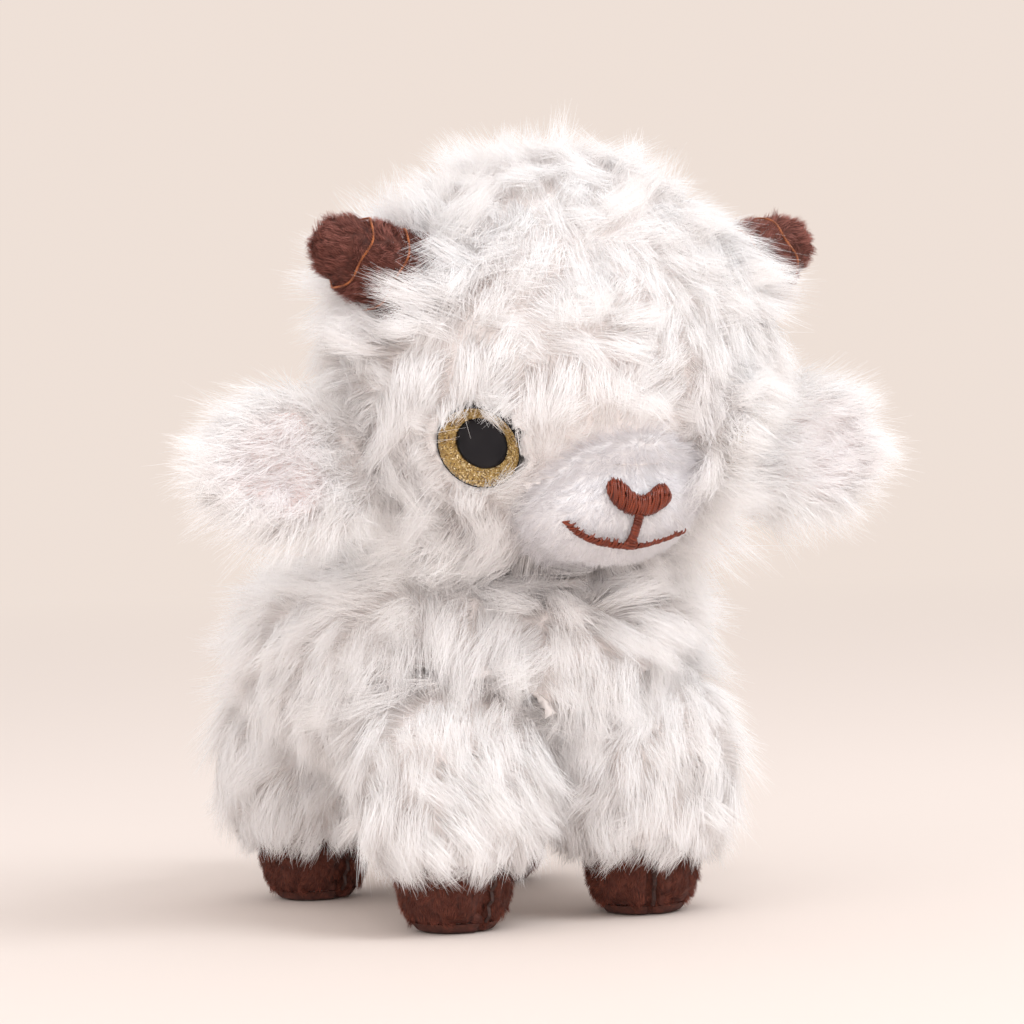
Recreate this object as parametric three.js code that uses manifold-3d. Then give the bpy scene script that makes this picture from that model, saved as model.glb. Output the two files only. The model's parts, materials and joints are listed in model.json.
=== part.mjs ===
// A small plush sheep that stands on its own four hooves.
// Millimetres, +Z up. The sheep faces -Y, and its own left side is +X.
// Each fur piece is the fabric with its pile: its outer face is the mean surface of the wool.
import * as THREE from 'three';
import Module from 'manifold-3d';
import { mergeVertices } from 'three/addons/utils/BufferGeometryUtils.js';

const wasm = await Module();
wasm.setup();

// Fits
const touchGap = 0.3; // between pieces that lie against each other
const swingGap = 0.4; // round a piece that turns in its seat
const seatWall = 1.0; // least wool between two neighbouring seats
const backingWall = 2.5; // fabric left between a seat and the stuffing
const cutOverrun = 4; // how far a cutting tool runs past what it cuts

// Legs: a rounded hip in the body, shaggy wool and a brown hoof
const hipHeight = 27;
const hipRadius = 16.3;
const legHalfBase = 28; // from the middle of the body to the front or rear hips
const legHemHeight = 10.6; // where the leg's wool ends above the floor
const legHemWall = 1.8;
const legCoreRadius = 8.8; // room for the stuffing inside the leg

// Hooves: short-pile fabric over stuffing, with a sewn cleft
const hoofHeight = 14;
const hoofRadius = 10.2;
const hoofWall = 1.4;
const soleRadius = 6.4;
const soleThickness = 1.2;
const soleFlare = 1.5; // how much wider the sole's upper edge is
const cleftWidth = 2.8;
const cleftDepth = 2.6;
const cleftThread = 0.35; // radius of the thread in the cleft

// Body
const flankWool = 2.5; // wool outside the hips
const chestWool = 15.5; // body beyond the front and rear hips
const bodyHalfHeight = 20.5;
const bodyLift = 16.5; // body's middle above the hips
const bodyPile = 7.5; // fabric and pile, down to the stuffing
const closingSeamLength = 26;
const closingSeamWidth = 1.6;
const closingThread = 0.4;

// Head: a ball that rests in a hollow of the body, with fuller cheeks
const headRadius = 35;
const headForward = 33; // head's centre ahead of the middle of the body
const headPile = 7.5;
const neckSink = 6.5; // how deep the head sits below the top of the back
const neckSeamInner = 11;
const neckSeamOuter = 15.5;
const neckSeamThickness = 1.6;
const neckOpening = 9;
const cheekSwell = 2.5; // how much wider the head is at the ears

// Muzzle patch of short pile, with an embroidered nose and mouth
const muzzleHalfWidth = 16.2;
const muzzleHalfDepth = 11.3;
const muzzleHalfHeight = 11.3;
const muzzleSink = 5.9; // muzzle's centre inside the face of the wool
const embroideryHeight = 0.9;
const noseHalfWidth = 6;
const noseHalfHeight = 2.8;
const mouthHalfWidth = 11.2;
const mouthDrop = 7.7; // below the middle of the nose
const mouthRise = 3.1; // how much higher the mouth's corners are
const mouthStroke = 1.2;
const philtrumStroke = 1.6;

// Safety eyes: a dish with a ribbed stem, glitter foil, pupil, clear dome, and a washer inside
const eyeRadius = 6.95;
const eyeRim = 0.5;
const eyeSink = 3.8; // dish's back inside the face of the wool
const eyeDish = 0.9;
const eyeFoil = 0.4;
const eyeFoilRise = 1.5; // how much higher the glitter is at its outer edge
const eyeLensEdge = 0.3;
const eyeLensCrown = 2.3;
const pupilRadius = 4.4;
const stemRadius = 1.6;
const stemRib = 0.25;
const stemLength = 9.4;
const washerRadius = 5.5;
const washerThickness = 1.2;
const washerSetback = 2.8; // washer's face inside the fabric

// Horns: stuffed brown plush cones with two sewn rings
const hornRadius = 8.3;
const hornLength = 23.2;
const hornWall = 1.6;
const hornSink = 5.9; // horn's base inside the face of the wool
const hornThread = 0.4;

// Ears: soft leaves with a wool back and a smooth lining, that fold along the line they are sewn on
const earHingeProud = 0.5; // hinge's middle beyond the side of the head
const earHingeBack = 1;
const earHingeDown = 14.5;
const earRootRadius = 4.2;
const earRootHalfHeight = 8.6;
const earRootSink = 2; // how far the leaf starts inside its rounded root
const earLength = 28.5;
const earHalfHeight = 12;
const earHalfThickness = 4.6;
const earCup = 4.5; // how far the edges roll forward
const earDroop = 1.5;
const earLiningThickness = 1.6;
const earLiningMargin = 3;

// Tail: a short woolly drop
const tailRootRadius = 6;
const tailRadius = 6.4;
const tailLength = 17;
const tailCoreRadius = 3;
const tailOut = 3; // root's centre beyond the rump

// Angles in degrees
const toeInAngle = 16; // each toe turns towards the middle
const neckTiltAngle = 20; // the neck leans back, below the head
const muzzleDipAngle = 49.2; // below level, seen from the head's centre
const embroideryTiltAngle = 7; // the nose and mouth hang lower on the sheep's own left
const eyeTurnAngle = 49; // from straight ahead
const eyeDipAngle = 23; // below level
const hornSeatTurnAngle = 18.5; // ahead of straight sideways
const hornSeatRiseAngle = 23.1; // above level
const hornRiseAngle = 26; // the horn itself, above level
const earTiltAngle = 22; // how far the sewn line leans out at its top
const tailDipAngle = 35; // below level

// Shares of the sizes above
const bodyFullnessShare = 2.5; // power of the body's oval: 2 is an ellipsoid, more is fuller
const tailRiseShare = 0.32; // tail's root above the body's middle, of its half height
const tailShares = [[1, 0.5], [0.86, 0.76], [0.5, 0.94], [0, 1]];
const chestLiftShare = 0.45; // how much higher the oval is towards the chest
const cheekStartShare = 0.6; // how far out to the side the head starts to swell
const earTaperShare = 1.5; // power that draws the ear's widest place towards its root
const earRootThinShare = 0.45; // ear's thickness where it is sewn on, of its full thickness
const earFullShare = 0.35; // how far out the ear reaches its full thickness
const legWoolShares = [[0.88, 0.12], [0.96, 0.36], [0.95, 0.7]]; // of the hip's radius and height
const cleftStitchShare = 0.68; // how far up the hoof the stitches go
const hoofSwellShares = [[0, 0], [0.42, 0.1], [0.8, 0.28], [1, 0.55], [0.98, 1]];
const hornShares = [[1, 0], [1.01, 0.27], [0.975, 0.41], [0.93, 0.535], [0.85, 0.66], [0.7, 0.81],
  [0.5, 0.92], [0, 1]];
const hornRingShares = [0.39, 0.655]; // height of each sewn ring
const hornRingDepthShare = 0.09;
const hornRingWidthShare = 0.035;
const eyeLensShares = [0.75, 0.42]; // places on the lens between its edge and its middle
const noseNotchShare = 0.1; // bottom of the notch above the nose's middle
const noseShares = [ // half of the nose: each row has a curve's two handles and its end
  [[0.22, 0.1], [0.28, 0.98], [0.62, 0.98]],
  [[0.88, 0.98], [1, 0.55], [0.98, 0.1]],
  [[0.9, -0.55], [0.4, -1], [0, -1]],
];
const mouthCurveShare = 2.2; // power that lifts the mouth's corners
const mouthTaperShare = 6; // power that draws the mouth out to its corners
const closingSlotShare = 8; // depth of the slot for the closing seam, of its thread

// Facet counts
const headSides = 20;
const bodySides = 18;
const smallSides = 14;
const coreSides = 12;
const legCoreSides = 12;
const neckSides = 40;
const threadHalfSides = 2;
const cleftStitchCount = 3;
const closingStitchCount = 7;
const stemRibCount = 3;
const outlineSteps = 6;

// Places worked out from the sizes
const hipSeat = seatRadius(hipRadius, swingGap, bodySides);
const legHalfTrack = hipSeat + seatWall / 2;
const bodyHalfWidth = legHalfTrack + hipRadius + flankWool;
const bodyHalfLength = legHalfBase + chestWool;
const bodyMiddle = hipHeight + bodyLift;
const headMiddle = bodyMiddle + bodyHalfHeight + headRadius - neckSink;
const headCore = headRadius - headPile;
const neckSeamRadius = seatRadius(headRadius, touchGap, neckSides);
const neckSeat = seatRadius(neckSeamRadius + neckSeamThickness, touchGap, headSides);
const muzzleReach = headRadius - muzzleSink;
const eyeSeat = headRadius - eyeSink;
const sides = { left: 1, right: -1 };

// Radius of a faceted seat whose flats still clear the corners of the ball that turns in it
function seatRadius(radius, gap, around) {
  return (radius + gap) / Math.cos(Math.PI / around) ** 2;
}

const radians = THREE.MathUtils.degToRad;
const headCentre = new THREE.Vector3(0, -headForward, headMiddle);

// Materials
function material(color, roughness, metalness = 0) {
  return new THREE.MeshStandardMaterial({ color, roughness, metalness });
}
const wool = material(0xf3f2f2, 0.95);
const shortPile = material(0xf6f3f1, 0.9);
const pinkPile = material(0xf0dbd6, 0.9);
const brownPile = material(0x5c2a1d, 0.85);
const brownThread = material(0x8a3f1e, 0.6);
const whiteThread = material(0xf4f1ea, 0.7);
const fibre = material(0xfafafa, 1);
const clearPlastic = material(0xffffff, 0.05);
const blackPlastic = material(0x0a0a0b, 0.2);
const goldGlitter = material(0xb98a2b, 0.35, 0.6);
const whitePlastic = material(0xe8e8e4, 0.5);

// Turns a closed geometry into a solid, without the slivers at its poles
function solid(geometry) {
  const bare = geometry.clone();
  bare.deleteAttribute('normal');
  bare.deleteAttribute('uv');
  const merged = mergeVertices(bare);
  const corners = merged.index.array;
  const kept = [];
  for (let i = 0; i < corners.length; i += 3) {
    const [a, b, c] = corners.slice(i, i + 3);
    if (a !== b && b !== c && c !== a) kept.push(a, b, c);
  }
  const mesh = new wasm.Mesh({
    numProp: 3,
    vertProperties: new Float32Array(merged.attributes.position.array),
    triVerts: new Uint32Array(kept),
  });
  return new wasm.Manifold(mesh);
}

// Turns a solid back into a named mesh
function piece(name, body, look) {
  const mesh = body.getMesh();
  const geometry = new THREE.BufferGeometry();
  geometry.setAttribute('position', new THREE.BufferAttribute(mesh.vertProperties, 3));
  geometry.setIndex(new THREE.BufferAttribute(mesh.triVerts, 1));
  geometry.computeVertexNormals();
  const result = new THREE.Mesh(geometry, look);
  result.name = name;
  return result;
}

function group(position, ...pieces) {
  const result = new THREE.Group();
  result.position.copy(position);
  if (pieces.length > 0) result.add(...pieces);
  return result;
}

function ball(radius, around) {
  return new THREE.SphereGeometry(radius, around, around / 2).rotateX(Math.PI / 2);
}

// Moves each point of a geometry
function reshaped(geometry, move) {
  const place = geometry.attributes.position;
  const point = new THREE.Vector3();
  for (let i = 0; i < place.count; i += 1) {
    move(point.fromBufferAttribute(place, i));
    place.setXYZ(i, point.x, point.y, point.z);
  }
  return geometry;
}

// Height of the body's oval over a place along it, as a share of its half height
function bodyRise(along, halfLength) {
  return (1 - Math.abs(along / halfLength) ** bodyFullnessShare) ** (1 / bodyFullnessShare);
}

// The body's form, a full oval, with its skin drawn in
function bodyForm(inset, around) {
  const form = reshaped(ball(1, around), (point) => {
    const powers = point.toArray().map((value) => Math.abs(value) ** bodyFullnessShare);
    point.multiplyScalar((powers[0] + powers[1] + powers[2]) ** (-1 / bodyFullnessShare));
  });
  const lifted = reshaped(form, (point) => {
    const front = Math.max(-point.y, 0);
    if (point.z > 0) point.z *= 1 + chestLiftShare * front ** 2;
  });
  lifted.scale(bodyHalfWidth - inset, bodyHalfLength - inset, bodyHalfHeight - inset);
  return lifted.translate(0, 0, bodyMiddle);
}

// Revolves pairs of radius and height round +Z, the outside listed from the bottom up
function turned(profile, around) {
  const points = profile.map(([radius, height]) => new THREE.Vector2(radius, height));
  return new THREE.LatheGeometry(points, around).rotateX(Math.PI / 2);
}

function cylinder(radius, from, to, around) {
  return turned([[0, from], [radius, from], [radius, to], [0, to]], around);
}

// Pairs of radius and height along an arc, between two angles above level
function arc(radius, from, to, steps, middle = 0) {
  return Array.from({ length: steps + 1 }, (_, i) => {
    const angle = radians(from + ((to - from) * i) / steps);
    const onAxis = Math.abs(Math.cos(angle)) < Number.EPSILON;
    return [onAxis ? 0 : radius * Math.cos(angle), middle + radius * Math.sin(angle)];
  });
}

function thread(points, radius, steps) {
  const section = new THREE.Shape();
  section.absarc(0, 0, radius, 0, 2 * Math.PI);
  return new THREE.ExtrudeGeometry(section, {
    steps,
    curveSegments: threadHalfSides,
    bevelEnabled: false,
    extrudePath: new THREE.CatmullRomCurve3(points),
  });
}

function mirrored(geometry) {
  const result = (geometry.index ? geometry.toNonIndexed() : geometry).scale(-1, 1, 1);
  const place = result.attributes.position;
  const [first, last] = [new THREE.Vector3(), new THREE.Vector3()];
  for (let i = 0; i < place.count; i += 3) {
    first.fromBufferAttribute(place, i);
    last.fromBufferAttribute(place, i + 2);
    place.setXYZ(i, last.x, last.y, last.z);
    place.setXYZ(i + 2, first.x, first.y, first.z);
  }
  return result;
}

// Legs

// Radius and height up the outside of a hoof, with its skin drawn in
function hoofOutline(inset) {
  const toe = soleRadius + soleFlare;
  const start = soleThickness + touchGap;
  return hoofSwellShares.map(([out, up]) => [
    toe + (hoofRadius - toe) * out - inset,
    start + (hoofHeight - start) * up,
  ]);
}

// A solid of that outline, run on past its ends
function filled(outline, below, above, around) {
  const [first, last] = [outline[0], outline[outline.length - 1]];
  const from = first[1] - below;
  const to = last[1] + above;
  const rim = [[0, from], [first[0], from], ...outline, [last[0], to], [0, to]];
  return turned(rim.filter(([radius, height], i) => {
    const next = rim[i + 1];
    return !next || radius !== next[0] || height !== next[1];
  }), around);
}

const cleftLean = Math.atan2(hoofRadius - soleRadius - soleFlare, hoofHeight / 2);
const cleftHalfAngle = Math.atan2(cleftWidth / 2, cleftDepth);

// The wedge that the stitches pull into the front of a hoof, grown by the fabric it carries
function cleftWedge(grown, turn) {
  const apex = cleftDepth + grown / Math.sin(cleftHalfAngle);
  const halfWidth = (apex + cutOverrun) * Math.tan(cleftHalfAngle);
  const wedge = new THREE.Shape();
  wedge.moveTo(0, apex);
  wedge.lineTo(-halfWidth, -cutOverrun);
  wedge.lineTo(halfWidth, -cutOverrun);
  wedge.closePath();
  const length = hoofHeight + 2 * cutOverrun;
  return new THREE.ExtrudeGeometry(wedge, { depth: length, bevelEnabled: false, steps: 1 })
    .translate(0, 0, -cutOverrun)
    .rotateX(cleftLean)
    .translate(0, -(soleRadius + soleFlare), 0)
    .rotateZ(turn);
}

// The stitches that hold the cleft, in and out along its bottom
function cleftStitches() {
  const depth = cleftDepth - (cleftThread + touchGap) / Math.sin(cleftHalfAngle);
  const from = soleThickness + touchGap + cleftThread;
  const to = hoofHeight * cleftStitchShare;
  const count = 2 * cleftStitchCount;
  const points = Array.from({ length: count + 1 }, (_, i) => {
    const height = from + ((to - from) * i) / count;
    const out = i % 2 === 0 ? 0 : 2 * cleftThread;
    const reach = soleRadius + soleFlare + height * Math.tan(cleftLean) - depth + out;
    return new THREE.Vector3(0, -reach, height);
  });
  return thread(points, cleftThread, 2 * count);
}

function leg(name, side) {
  const turn = radians(-side * toeInAngle);
  const hemRadius = hoofRadius + touchGap;
  const furHeight = hipHeight - legHemHeight;
  const collar = hoofHeight + touchGap;
  const fur = [
    [hemRadius, legHemHeight],
    [hemRadius + legHemWall, legHemHeight],
    ...legWoolShares.map(([out, up]) => [hipRadius * out, legHemHeight + furHeight * up]),
    ...arc(hipRadius, 0, 90, 5, hipHeight),
    ...arc(legCoreRadius, 90, 0, 2, hipHeight),
    [legCoreRadius, collar],
    [hemRadius, collar],
    [hemRadius, legHemHeight],
  ];
  const stuffing = [
    ...hoofOutline(hoofWall + touchGap),
    ...arc(legCoreRadius - touchGap, 0, 90, 2, hipHeight),
  ];
  stuffing.unshift([0, stuffing[0][1]]);
  const sole = [[0, 0], [soleRadius, 0], [soleRadius + soleFlare, soleThickness], [0, soleThickness]];
  const inside = solid(filled(hoofOutline(hoofWall), cutOverrun, cutOverrun, smallSides))
    .subtract(solid(cleftWedge(hoofWall, turn)));
  const hoof = solid(filled(hoofOutline(0), 0, 0, smallSides))
    .subtract(solid(cleftWedge(0, turn)))
    .subtract(inside);
  return [
    piece(`${name}_leg_fur`, solid(turned(fur, bodySides)), wool),
    piece(`${name}_leg_stuffing`, solid(turned(stuffing, legCoreSides))
      .subtract(solid(cleftWedge(hoofWall + touchGap, turn))), fibre),
    piece(`${name}_hoof`, hoof, brownPile),
    piece(`${name}_hoof_sole`, solid(turned(sole, smallSides)).subtract(solid(cleftWedge(0, turn))), brownPile),
    piece(`${name}_cleft_stitches`, solid(cleftStitches().rotateZ(turn)), brownThread),
  ];
}

const legPlaces = {
  front_left: [sides.left, -1],
  front_right: [sides.right, -1],
  rear_left: [sides.left, 1],
  rear_right: [sides.right, 1],
};

// Body

function hipSeats(radius, around) {
  return Object.values(legPlaces).map(([side, end]) => solid(ball(radius, around)
    .translate(side * legHalfTrack, end * legHalfBase, hipHeight)));
}

// Something made round the head's centre, turned onto the neck, which points down and back
function onNeck(geometry) {
  return geometry.rotateX(radians(neckTiltAngle));
}

function neckBore(radius, from, to) {
  return onNeck(cylinder(radius, -to, -from, coreSides));
}

function headSeat(radius, around) {
  return solid(ball(radius, around).translate(...headCentre));
}

const tailRoot = new THREE.Vector3(
  0,
  bodyHalfLength * bodyRise(tailRiseShare, 1) + tailOut,
  bodyMiddle + bodyHalfHeight * tailRiseShare,
);

// The room inside the body's fabric, kept clear of the seats of the legs and the head
function bodyRoom(gap) {
  const seats = [
    ...hipSeats(hipSeat + backingWall + gap, coreSides),
    headSeat(neckSeat + backingWall + gap, coreSides),
  ];
  return seats.reduce((room, seat) => room.subtract(seat), solid(bodyForm(bodyPile + gap, coreSides)));
}

// Ladder stitches that close the belly, just inside the fabric
function closingSeam() {
  const count = 2 * closingStitchCount;
  const points = Array.from({ length: count + 1 }, (_, i) => {
    const along = closingSeamLength * (i / count - 0.5);
    const across = (closingSeamWidth / 2) * (Math.floor((i + 1) / 2) % 2 === 0 ? 1 : -1);
    const rise = (bodyHalfHeight - bodyPile) * bodyRise(along, bodyHalfLength - bodyPile);
    return new THREE.Vector3(across, along, bodyMiddle - rise + touchGap + 2 * closingThread);
  });
  return thread(points, closingThread, 2 * count);
}

function closingSlot() {
  const width = closingSeamWidth + 2 * (closingThread + touchGap);
  const length = closingSeamLength + 2 * (closingThread + touchGap);
  const depth = closingSlotShare * (closingThread + touchGap);
  const bottom = bodyMiddle - bodyHalfHeight + bodyPile;
  return new THREE.BoxGeometry(width, length, depth).translate(0, 0, bottom);
}

function body() {
  const neckHole = solid(neckBore(neckOpening, headRadius, neckSeat + backingWall + cutOverrun)
    .translate(...headCentre));
  const tailSeat = solid(ball(seatRadius(tailRootRadius, swingGap, smallSides), smallSides)
    .translate(...tailRoot));
  const cuts = [
    ...hipSeats(hipSeat, bodySides), headSeat(neckSeat, headSides), bodyRoom(0), neckHole, tailSeat,
  ];
  const fur = cuts.reduce((form, cut) => form.subtract(cut), solid(bodyForm(0, bodySides)));
  return [
    piece('body_fur', fur, wool),
    piece('body_stuffing', bodyRoom(touchGap).subtract(solid(closingSlot())), fibre),
    piece('closing_seam', solid(closingSeam()), whiteThread),
  ];
}

// Neck: the ring of stitches between the body and the head
function neckSeam() {
  const angle = (across) => THREE.MathUtils.radToDeg(Math.asin(across / neckSeamRadius)) - 90;
  const [inner, outer] = [angle(neckSeamInner), angle(neckSeamOuter)];
  const ring = [
    ...arc(neckSeamRadius + neckSeamThickness, inner, outer, 2),
    ...arc(neckSeamRadius, outer, inner, 2),
  ];
  return piece('neck_seam', solid(onNeck(turned([...ring, ring[0]], neckSides))), whiteThread);
}

// Tail
function tail() {
  const rootAngle = THREE.MathUtils.radToDeg(Math.acos(tailCoreRadius / tailRootRadius));
  const rootEnd = -Math.sqrt(tailRootRadius ** 2 - tailCoreRadius ** 2);
  const coreEnd = tailLength - tailRadius;
  const fur = [
    ...arc(tailRootRadius, -rootAngle, 0, 3),
    ...tailShares.map(([out, up]) => [tailRadius * out, tailLength * up]),
    ...arc(tailCoreRadius, 90, 0, 2, coreEnd - tailCoreRadius),
    [tailCoreRadius, rootEnd],
  ];
  const core = tailCoreRadius - touchGap;
  const stuffing = [[0, rootEnd], [core, rootEnd], ...arc(core, 0, 90, 2, coreEnd - tailCoreRadius)];
  const result = group(
    tailRoot,
    piece('tail_fur', solid(turned(fur, smallSides)), wool),
    piece('tail_stuffing', solid(turned(stuffing, coreSides)), fibre),
  );
  result.rotation.x = -radians(90 + tailDipAngle);
  return result;
}

// Head pieces are made round the head's centre

// Turns what is made along +Z to look forward and sideways from the head's centre
function onFace(geometry, turnAngle, dipAngle) {
  return geometry.rotateX(radians(90 + dipAngle)).rotateZ(radians(turnAngle));
}

function muzzleForm(grown) {
  const dip = radians(muzzleDipAngle);
  return solid(ball(1, bodySides)
    .scale(muzzleHalfWidth + grown, muzzleHalfDepth + grown, muzzleHalfHeight + grown)
    .translate(0, -muzzleReach * Math.cos(dip), -muzzleReach * Math.sin(dip)));
}

// A thin layer of satin stitch over the muzzle, in the outline of a shape seen from the front
function embroidery(...shapes) {
  const layer = muzzleForm(touchGap + embroideryHeight).subtract(muzzleForm(touchGap));
  const height = -muzzleReach * Math.sin(radians(muzzleDipAngle));
  const prisms = shapes.map((shape) => solid(new THREE.ExtrudeGeometry(shape, {
    depth: muzzleReach, bevelEnabled: false, curveSegments: outlineSteps,
  }).rotateZ(-radians(embroideryTiltAngle)).rotateX(Math.PI / 2).translate(0, -muzzleReach * Math.cos(radians(muzzleDipAngle)), height)));
  return layer.intersect(prisms.reduce((all, prism) => all.add(prism)));
}

function noseShape() {
  const place = ([x, y]) => [noseHalfWidth * x, noseHalfHeight * y];
  const mirrored = ([x, y]) => place([-x, y]);
  const ends = [[0, noseNotchShare], ...noseShares.map(([, , end]) => end)];
  const nose = new THREE.Shape();
  nose.moveTo(...place(ends[0]));
  noseShares.forEach((row) => nose.bezierCurveTo(...row.flatMap(place)));
  ends.slice(0, -1).map((end, i) => [noseShares[i][1], noseShares[i][0], end]).reverse()
    .forEach((row) => nose.bezierCurveTo(...row.flatMap(mirrored)));
  return nose;
}

// The smile, drawn out to its corners
function mouthShape() {
  const edge = (side) => Array.from({ length: 2 * outlineSteps + 1 }, (_, i) => {
    const across = i / outlineSteps - 1;
    const middle = mouthRise * Math.abs(across) ** mouthCurveShare - mouthDrop;
    const half = (mouthStroke / 2) * (1 - Math.abs(across) ** mouthTaperShare);
    return new THREE.Vector2(mouthHalfWidth * across, middle + side * half);
  });
  return new THREE.Shape([...edge(-1), ...edge(1).slice(1, -1).reverse()]);
}

function philtrumShape() {
  const half = philtrumStroke / 2;
  const shape = new THREE.Shape();
  shape.moveTo(-half, -mouthDrop);
  shape.lineTo(half, -mouthDrop);
  shape.lineTo(half, -noseHalfHeight - touchGap);
  shape.lineTo(-half, -noseHalfHeight - touchGap);
  shape.closePath();
  return shape;
}

function eyeParts(name, side) {
  const front = eyeSeat + eyeDish;
  const inside = eyeRadius - eyeRim;
  const foilTop = front + touchGap + eyeFoil;
  const lensBack = foilTop + touchGap;
  const rim = lensBack + eyeFoilRise + eyeLensEdge;
  const stemEnd = eyeSeat - stemLength;
  const ribs = Array.from({ length: stemRibCount }, (_, i) => {
    const height = stemEnd + (stemLength * (i + 1)) / (stemRibCount + 1);
    return [[stemRadius - stemRib, height], [stemRadius, height + stemRib]];
  }).flat();
  const dish = [
    [0, stemEnd], [stemRadius - stemRib, stemEnd], ...ribs, [stemRadius, eyeSeat],
    [eyeRadius, eyeSeat], [eyeRadius, rim], [inside, rim], [inside, front], [0, front],
  ];
  const ringInner = pupilRadius + touchGap;
  const ringOuter = inside - touchGap;
  const foil = [
    [ringInner, front + touchGap], [ringOuter, front + touchGap],
    [ringOuter, foilTop + eyeFoilRise], [ringInner, foilTop], [ringInner, front + touchGap],
  ];
  const lens = [
    [0, lensBack], [ringInner, lensBack], [ringOuter, lensBack + eyeFoilRise], [ringOuter, rim],
    ...eyeLensShares.map((share) => [ringOuter * share, rim + eyeLensCrown * (1 - share ** 2)]),
    [0, rim + eyeLensCrown],
  ];
  const washerFace = headCore - washerSetback;
  const hole = stemRadius + touchGap;
  const washer = [
    [hole, washerFace - washerThickness], [washerRadius, washerFace - washerThickness],
    [washerRadius, washerFace], [hole, washerFace], [hole, washerFace - washerThickness],
  ];
  const make = (part, geometry, look) => piece(
    `${name}_eye_${part}`,
    solid(onFace(geometry, side * eyeTurnAngle, eyeDipAngle)),
    look,
  );
  return [
    make('dish', turned(dish, smallSides), blackPlastic),
    make('glitter_ring', turned(foil, smallSides), goldGlitter),
    make('pupil', cylinder(pupilRadius, front + touchGap, foilTop, smallSides), blackPlastic),
    make('lens', turned(lens, smallSides), clearPlastic),
    make('lock_washer', turned(washer, smallSides), whitePlastic),
  ];
}

// What an eye needs cut out of the wool: its pocket and the hole for its stem
function eyeSocket(side) {
  const face = eyeSeat - touchGap;
  const room = [
    [0, 0], [stemRadius + touchGap, 0], [stemRadius + touchGap, face],
    [eyeRadius + touchGap, face], [eyeRadius + touchGap, headRadius + cutOverrun],
    [0, headRadius + cutOverrun],
  ];
  return solid(onFace(turned(room, smallSides), side * eyeTurnAngle, eyeDipAngle));
}

// What an eye's stem and washer need cut out of the stuffing
function washerSocket(side) {
  const bottom = headCore - washerSetback - washerThickness - touchGap;
  const stemEnd = eyeSeat - stemLength - touchGap;
  const room = [
    [0, stemEnd], [stemRadius + touchGap, stemEnd], [stemRadius + touchGap, bottom],
    [washerRadius + touchGap, bottom], [washerRadius + touchGap, headRadius], [0, headRadius],
  ];
  return solid(onFace(turned(room, smallSides), side * eyeTurnAngle, eyeDipAngle));
}

// Horns, made up +Z from the base

function hornOutline(inset) {
  return hornShares.map(([out, up]) => [
    Math.max(hornRadius * out - inset, 0),
    (hornLength - inset) * up,
  ]);
}

function hornRadiusAt(up) {
  const next = hornShares.findIndex(([, height]) => height > up);
  const [[outA, upA], [outB, upB]] = [hornShares[next - 1], hornShares[next]];
  return hornRadius * THREE.MathUtils.mapLinear(up, upA, upB, outA, outB);
}

// The outside with a groove pulled in at each sewn ring
function hornSkinOutline() {
  const grooves = hornRingShares.flatMap((up) => [
    [hornRadiusAt(up - hornRingWidthShare), hornLength * (up - hornRingWidthShare)],
    [hornRadiusAt(up) - hornRadius * hornRingDepthShare, hornLength * up],
    [hornRadiusAt(up + hornRingWidthShare), hornLength * (up + hornRingWidthShare)],
  ]);
  const between = hornOutline(0).filter(([, height]) => hornRingShares
    .every((up) => Math.abs(height - hornLength * up) > hornLength * hornRingWidthShare));
  return [...between, ...grooves].sort((a, b) => a[1] - b[1]);
}

function onHornSeat(geometry, side) {
  const [turn, rise] = [radians(hornSeatTurnAngle), radians(hornSeatRiseAngle)];
  const reach = headRadius - hornSink;
  return geometry.rotateY(side * radians(90 - hornRiseAngle)).translate(
    side * reach * Math.cos(rise) * Math.cos(turn),
    -reach * Math.cos(rise) * Math.sin(turn),
    reach * Math.sin(rise),
  );
}

function hornSocket(side) {
  const outline = hornOutline(-touchGap);
  return solid(onHornSeat(filled(outline, touchGap, 0, smallSides), side));
}

function horn(name, side) {
  const skin = solid(onHornSeat(filled(hornSkinOutline(), 0, 0, smallSides), side));
  const room = solid(onHornSeat(filled(hornOutline(hornWall), cutOverrun, 0, smallSides), side));
  const stuffing = filled(hornOutline(hornWall + touchGap), 0, 0, smallSides);
  const rings = hornRingShares.map((up, i) => {
    const ring = new THREE.TorusGeometry(hornRadiusAt(up), hornThread, 2 * threadHalfSides, smallSides);
    const place = onHornSeat(ring.translate(0, 0, hornLength * up), side);
    return piece(`${name}_horn_ring_${i + 1}`, solid(place), brownThread);
  });
  return [
    piece(`${name}_horn`, skin.subtract(room), brownPile),
    piece(`${name}_horn_stuffing`, solid(onHornSeat(stuffing, side)), fibre),
    ...rings,
  ];
}

// Ears, made for the left side, +X outwards from the middle of the sewn line

// A leaf from the root to the tip, widest near the root, with its edges rolled forward
function leaf(root, tip, halfHeight, halfThickness, forward) {
  const lean = Math.tan(radians(earTiltAngle));
  return reshaped(ball(1, smallSides), (point) => {
    const along = (point.x + 1) / 2;
    const out = THREE.MathUtils.lerp(root, tip, along ** earTaperShare);
    const share = THREE.MathUtils.clamp((out + earRootSink) / (earLength + earRootSink), 0, 1);
    const high = point.z * halfHeight;
    const full = THREE.MathUtils.lerp(
      earRootThinShare,
      1,
      THREE.MathUtils.smoothstep(share, 0, earFullShare),
    );
    const rolled = earCup * (high / earHalfHeight) ** 2;
    point.set(
      out + high * lean * (1 - share) ** 2,
      (point.y * halfThickness - rolled - forward) * full,
      high - earDroop * share ** 2,
    );
  });
}

// The rounded root that turns about the sewn line
function earRoot(radius, halfHeight) {
  return ball(1, smallSides).scale(radius, radius, halfHeight).rotateY(radians(earTiltAngle));
}

function earPlace(side) {
  return new THREE.Vector3(side * (headRadius + earHingeProud), earHingeBack, -earHingeDown);
}

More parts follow.
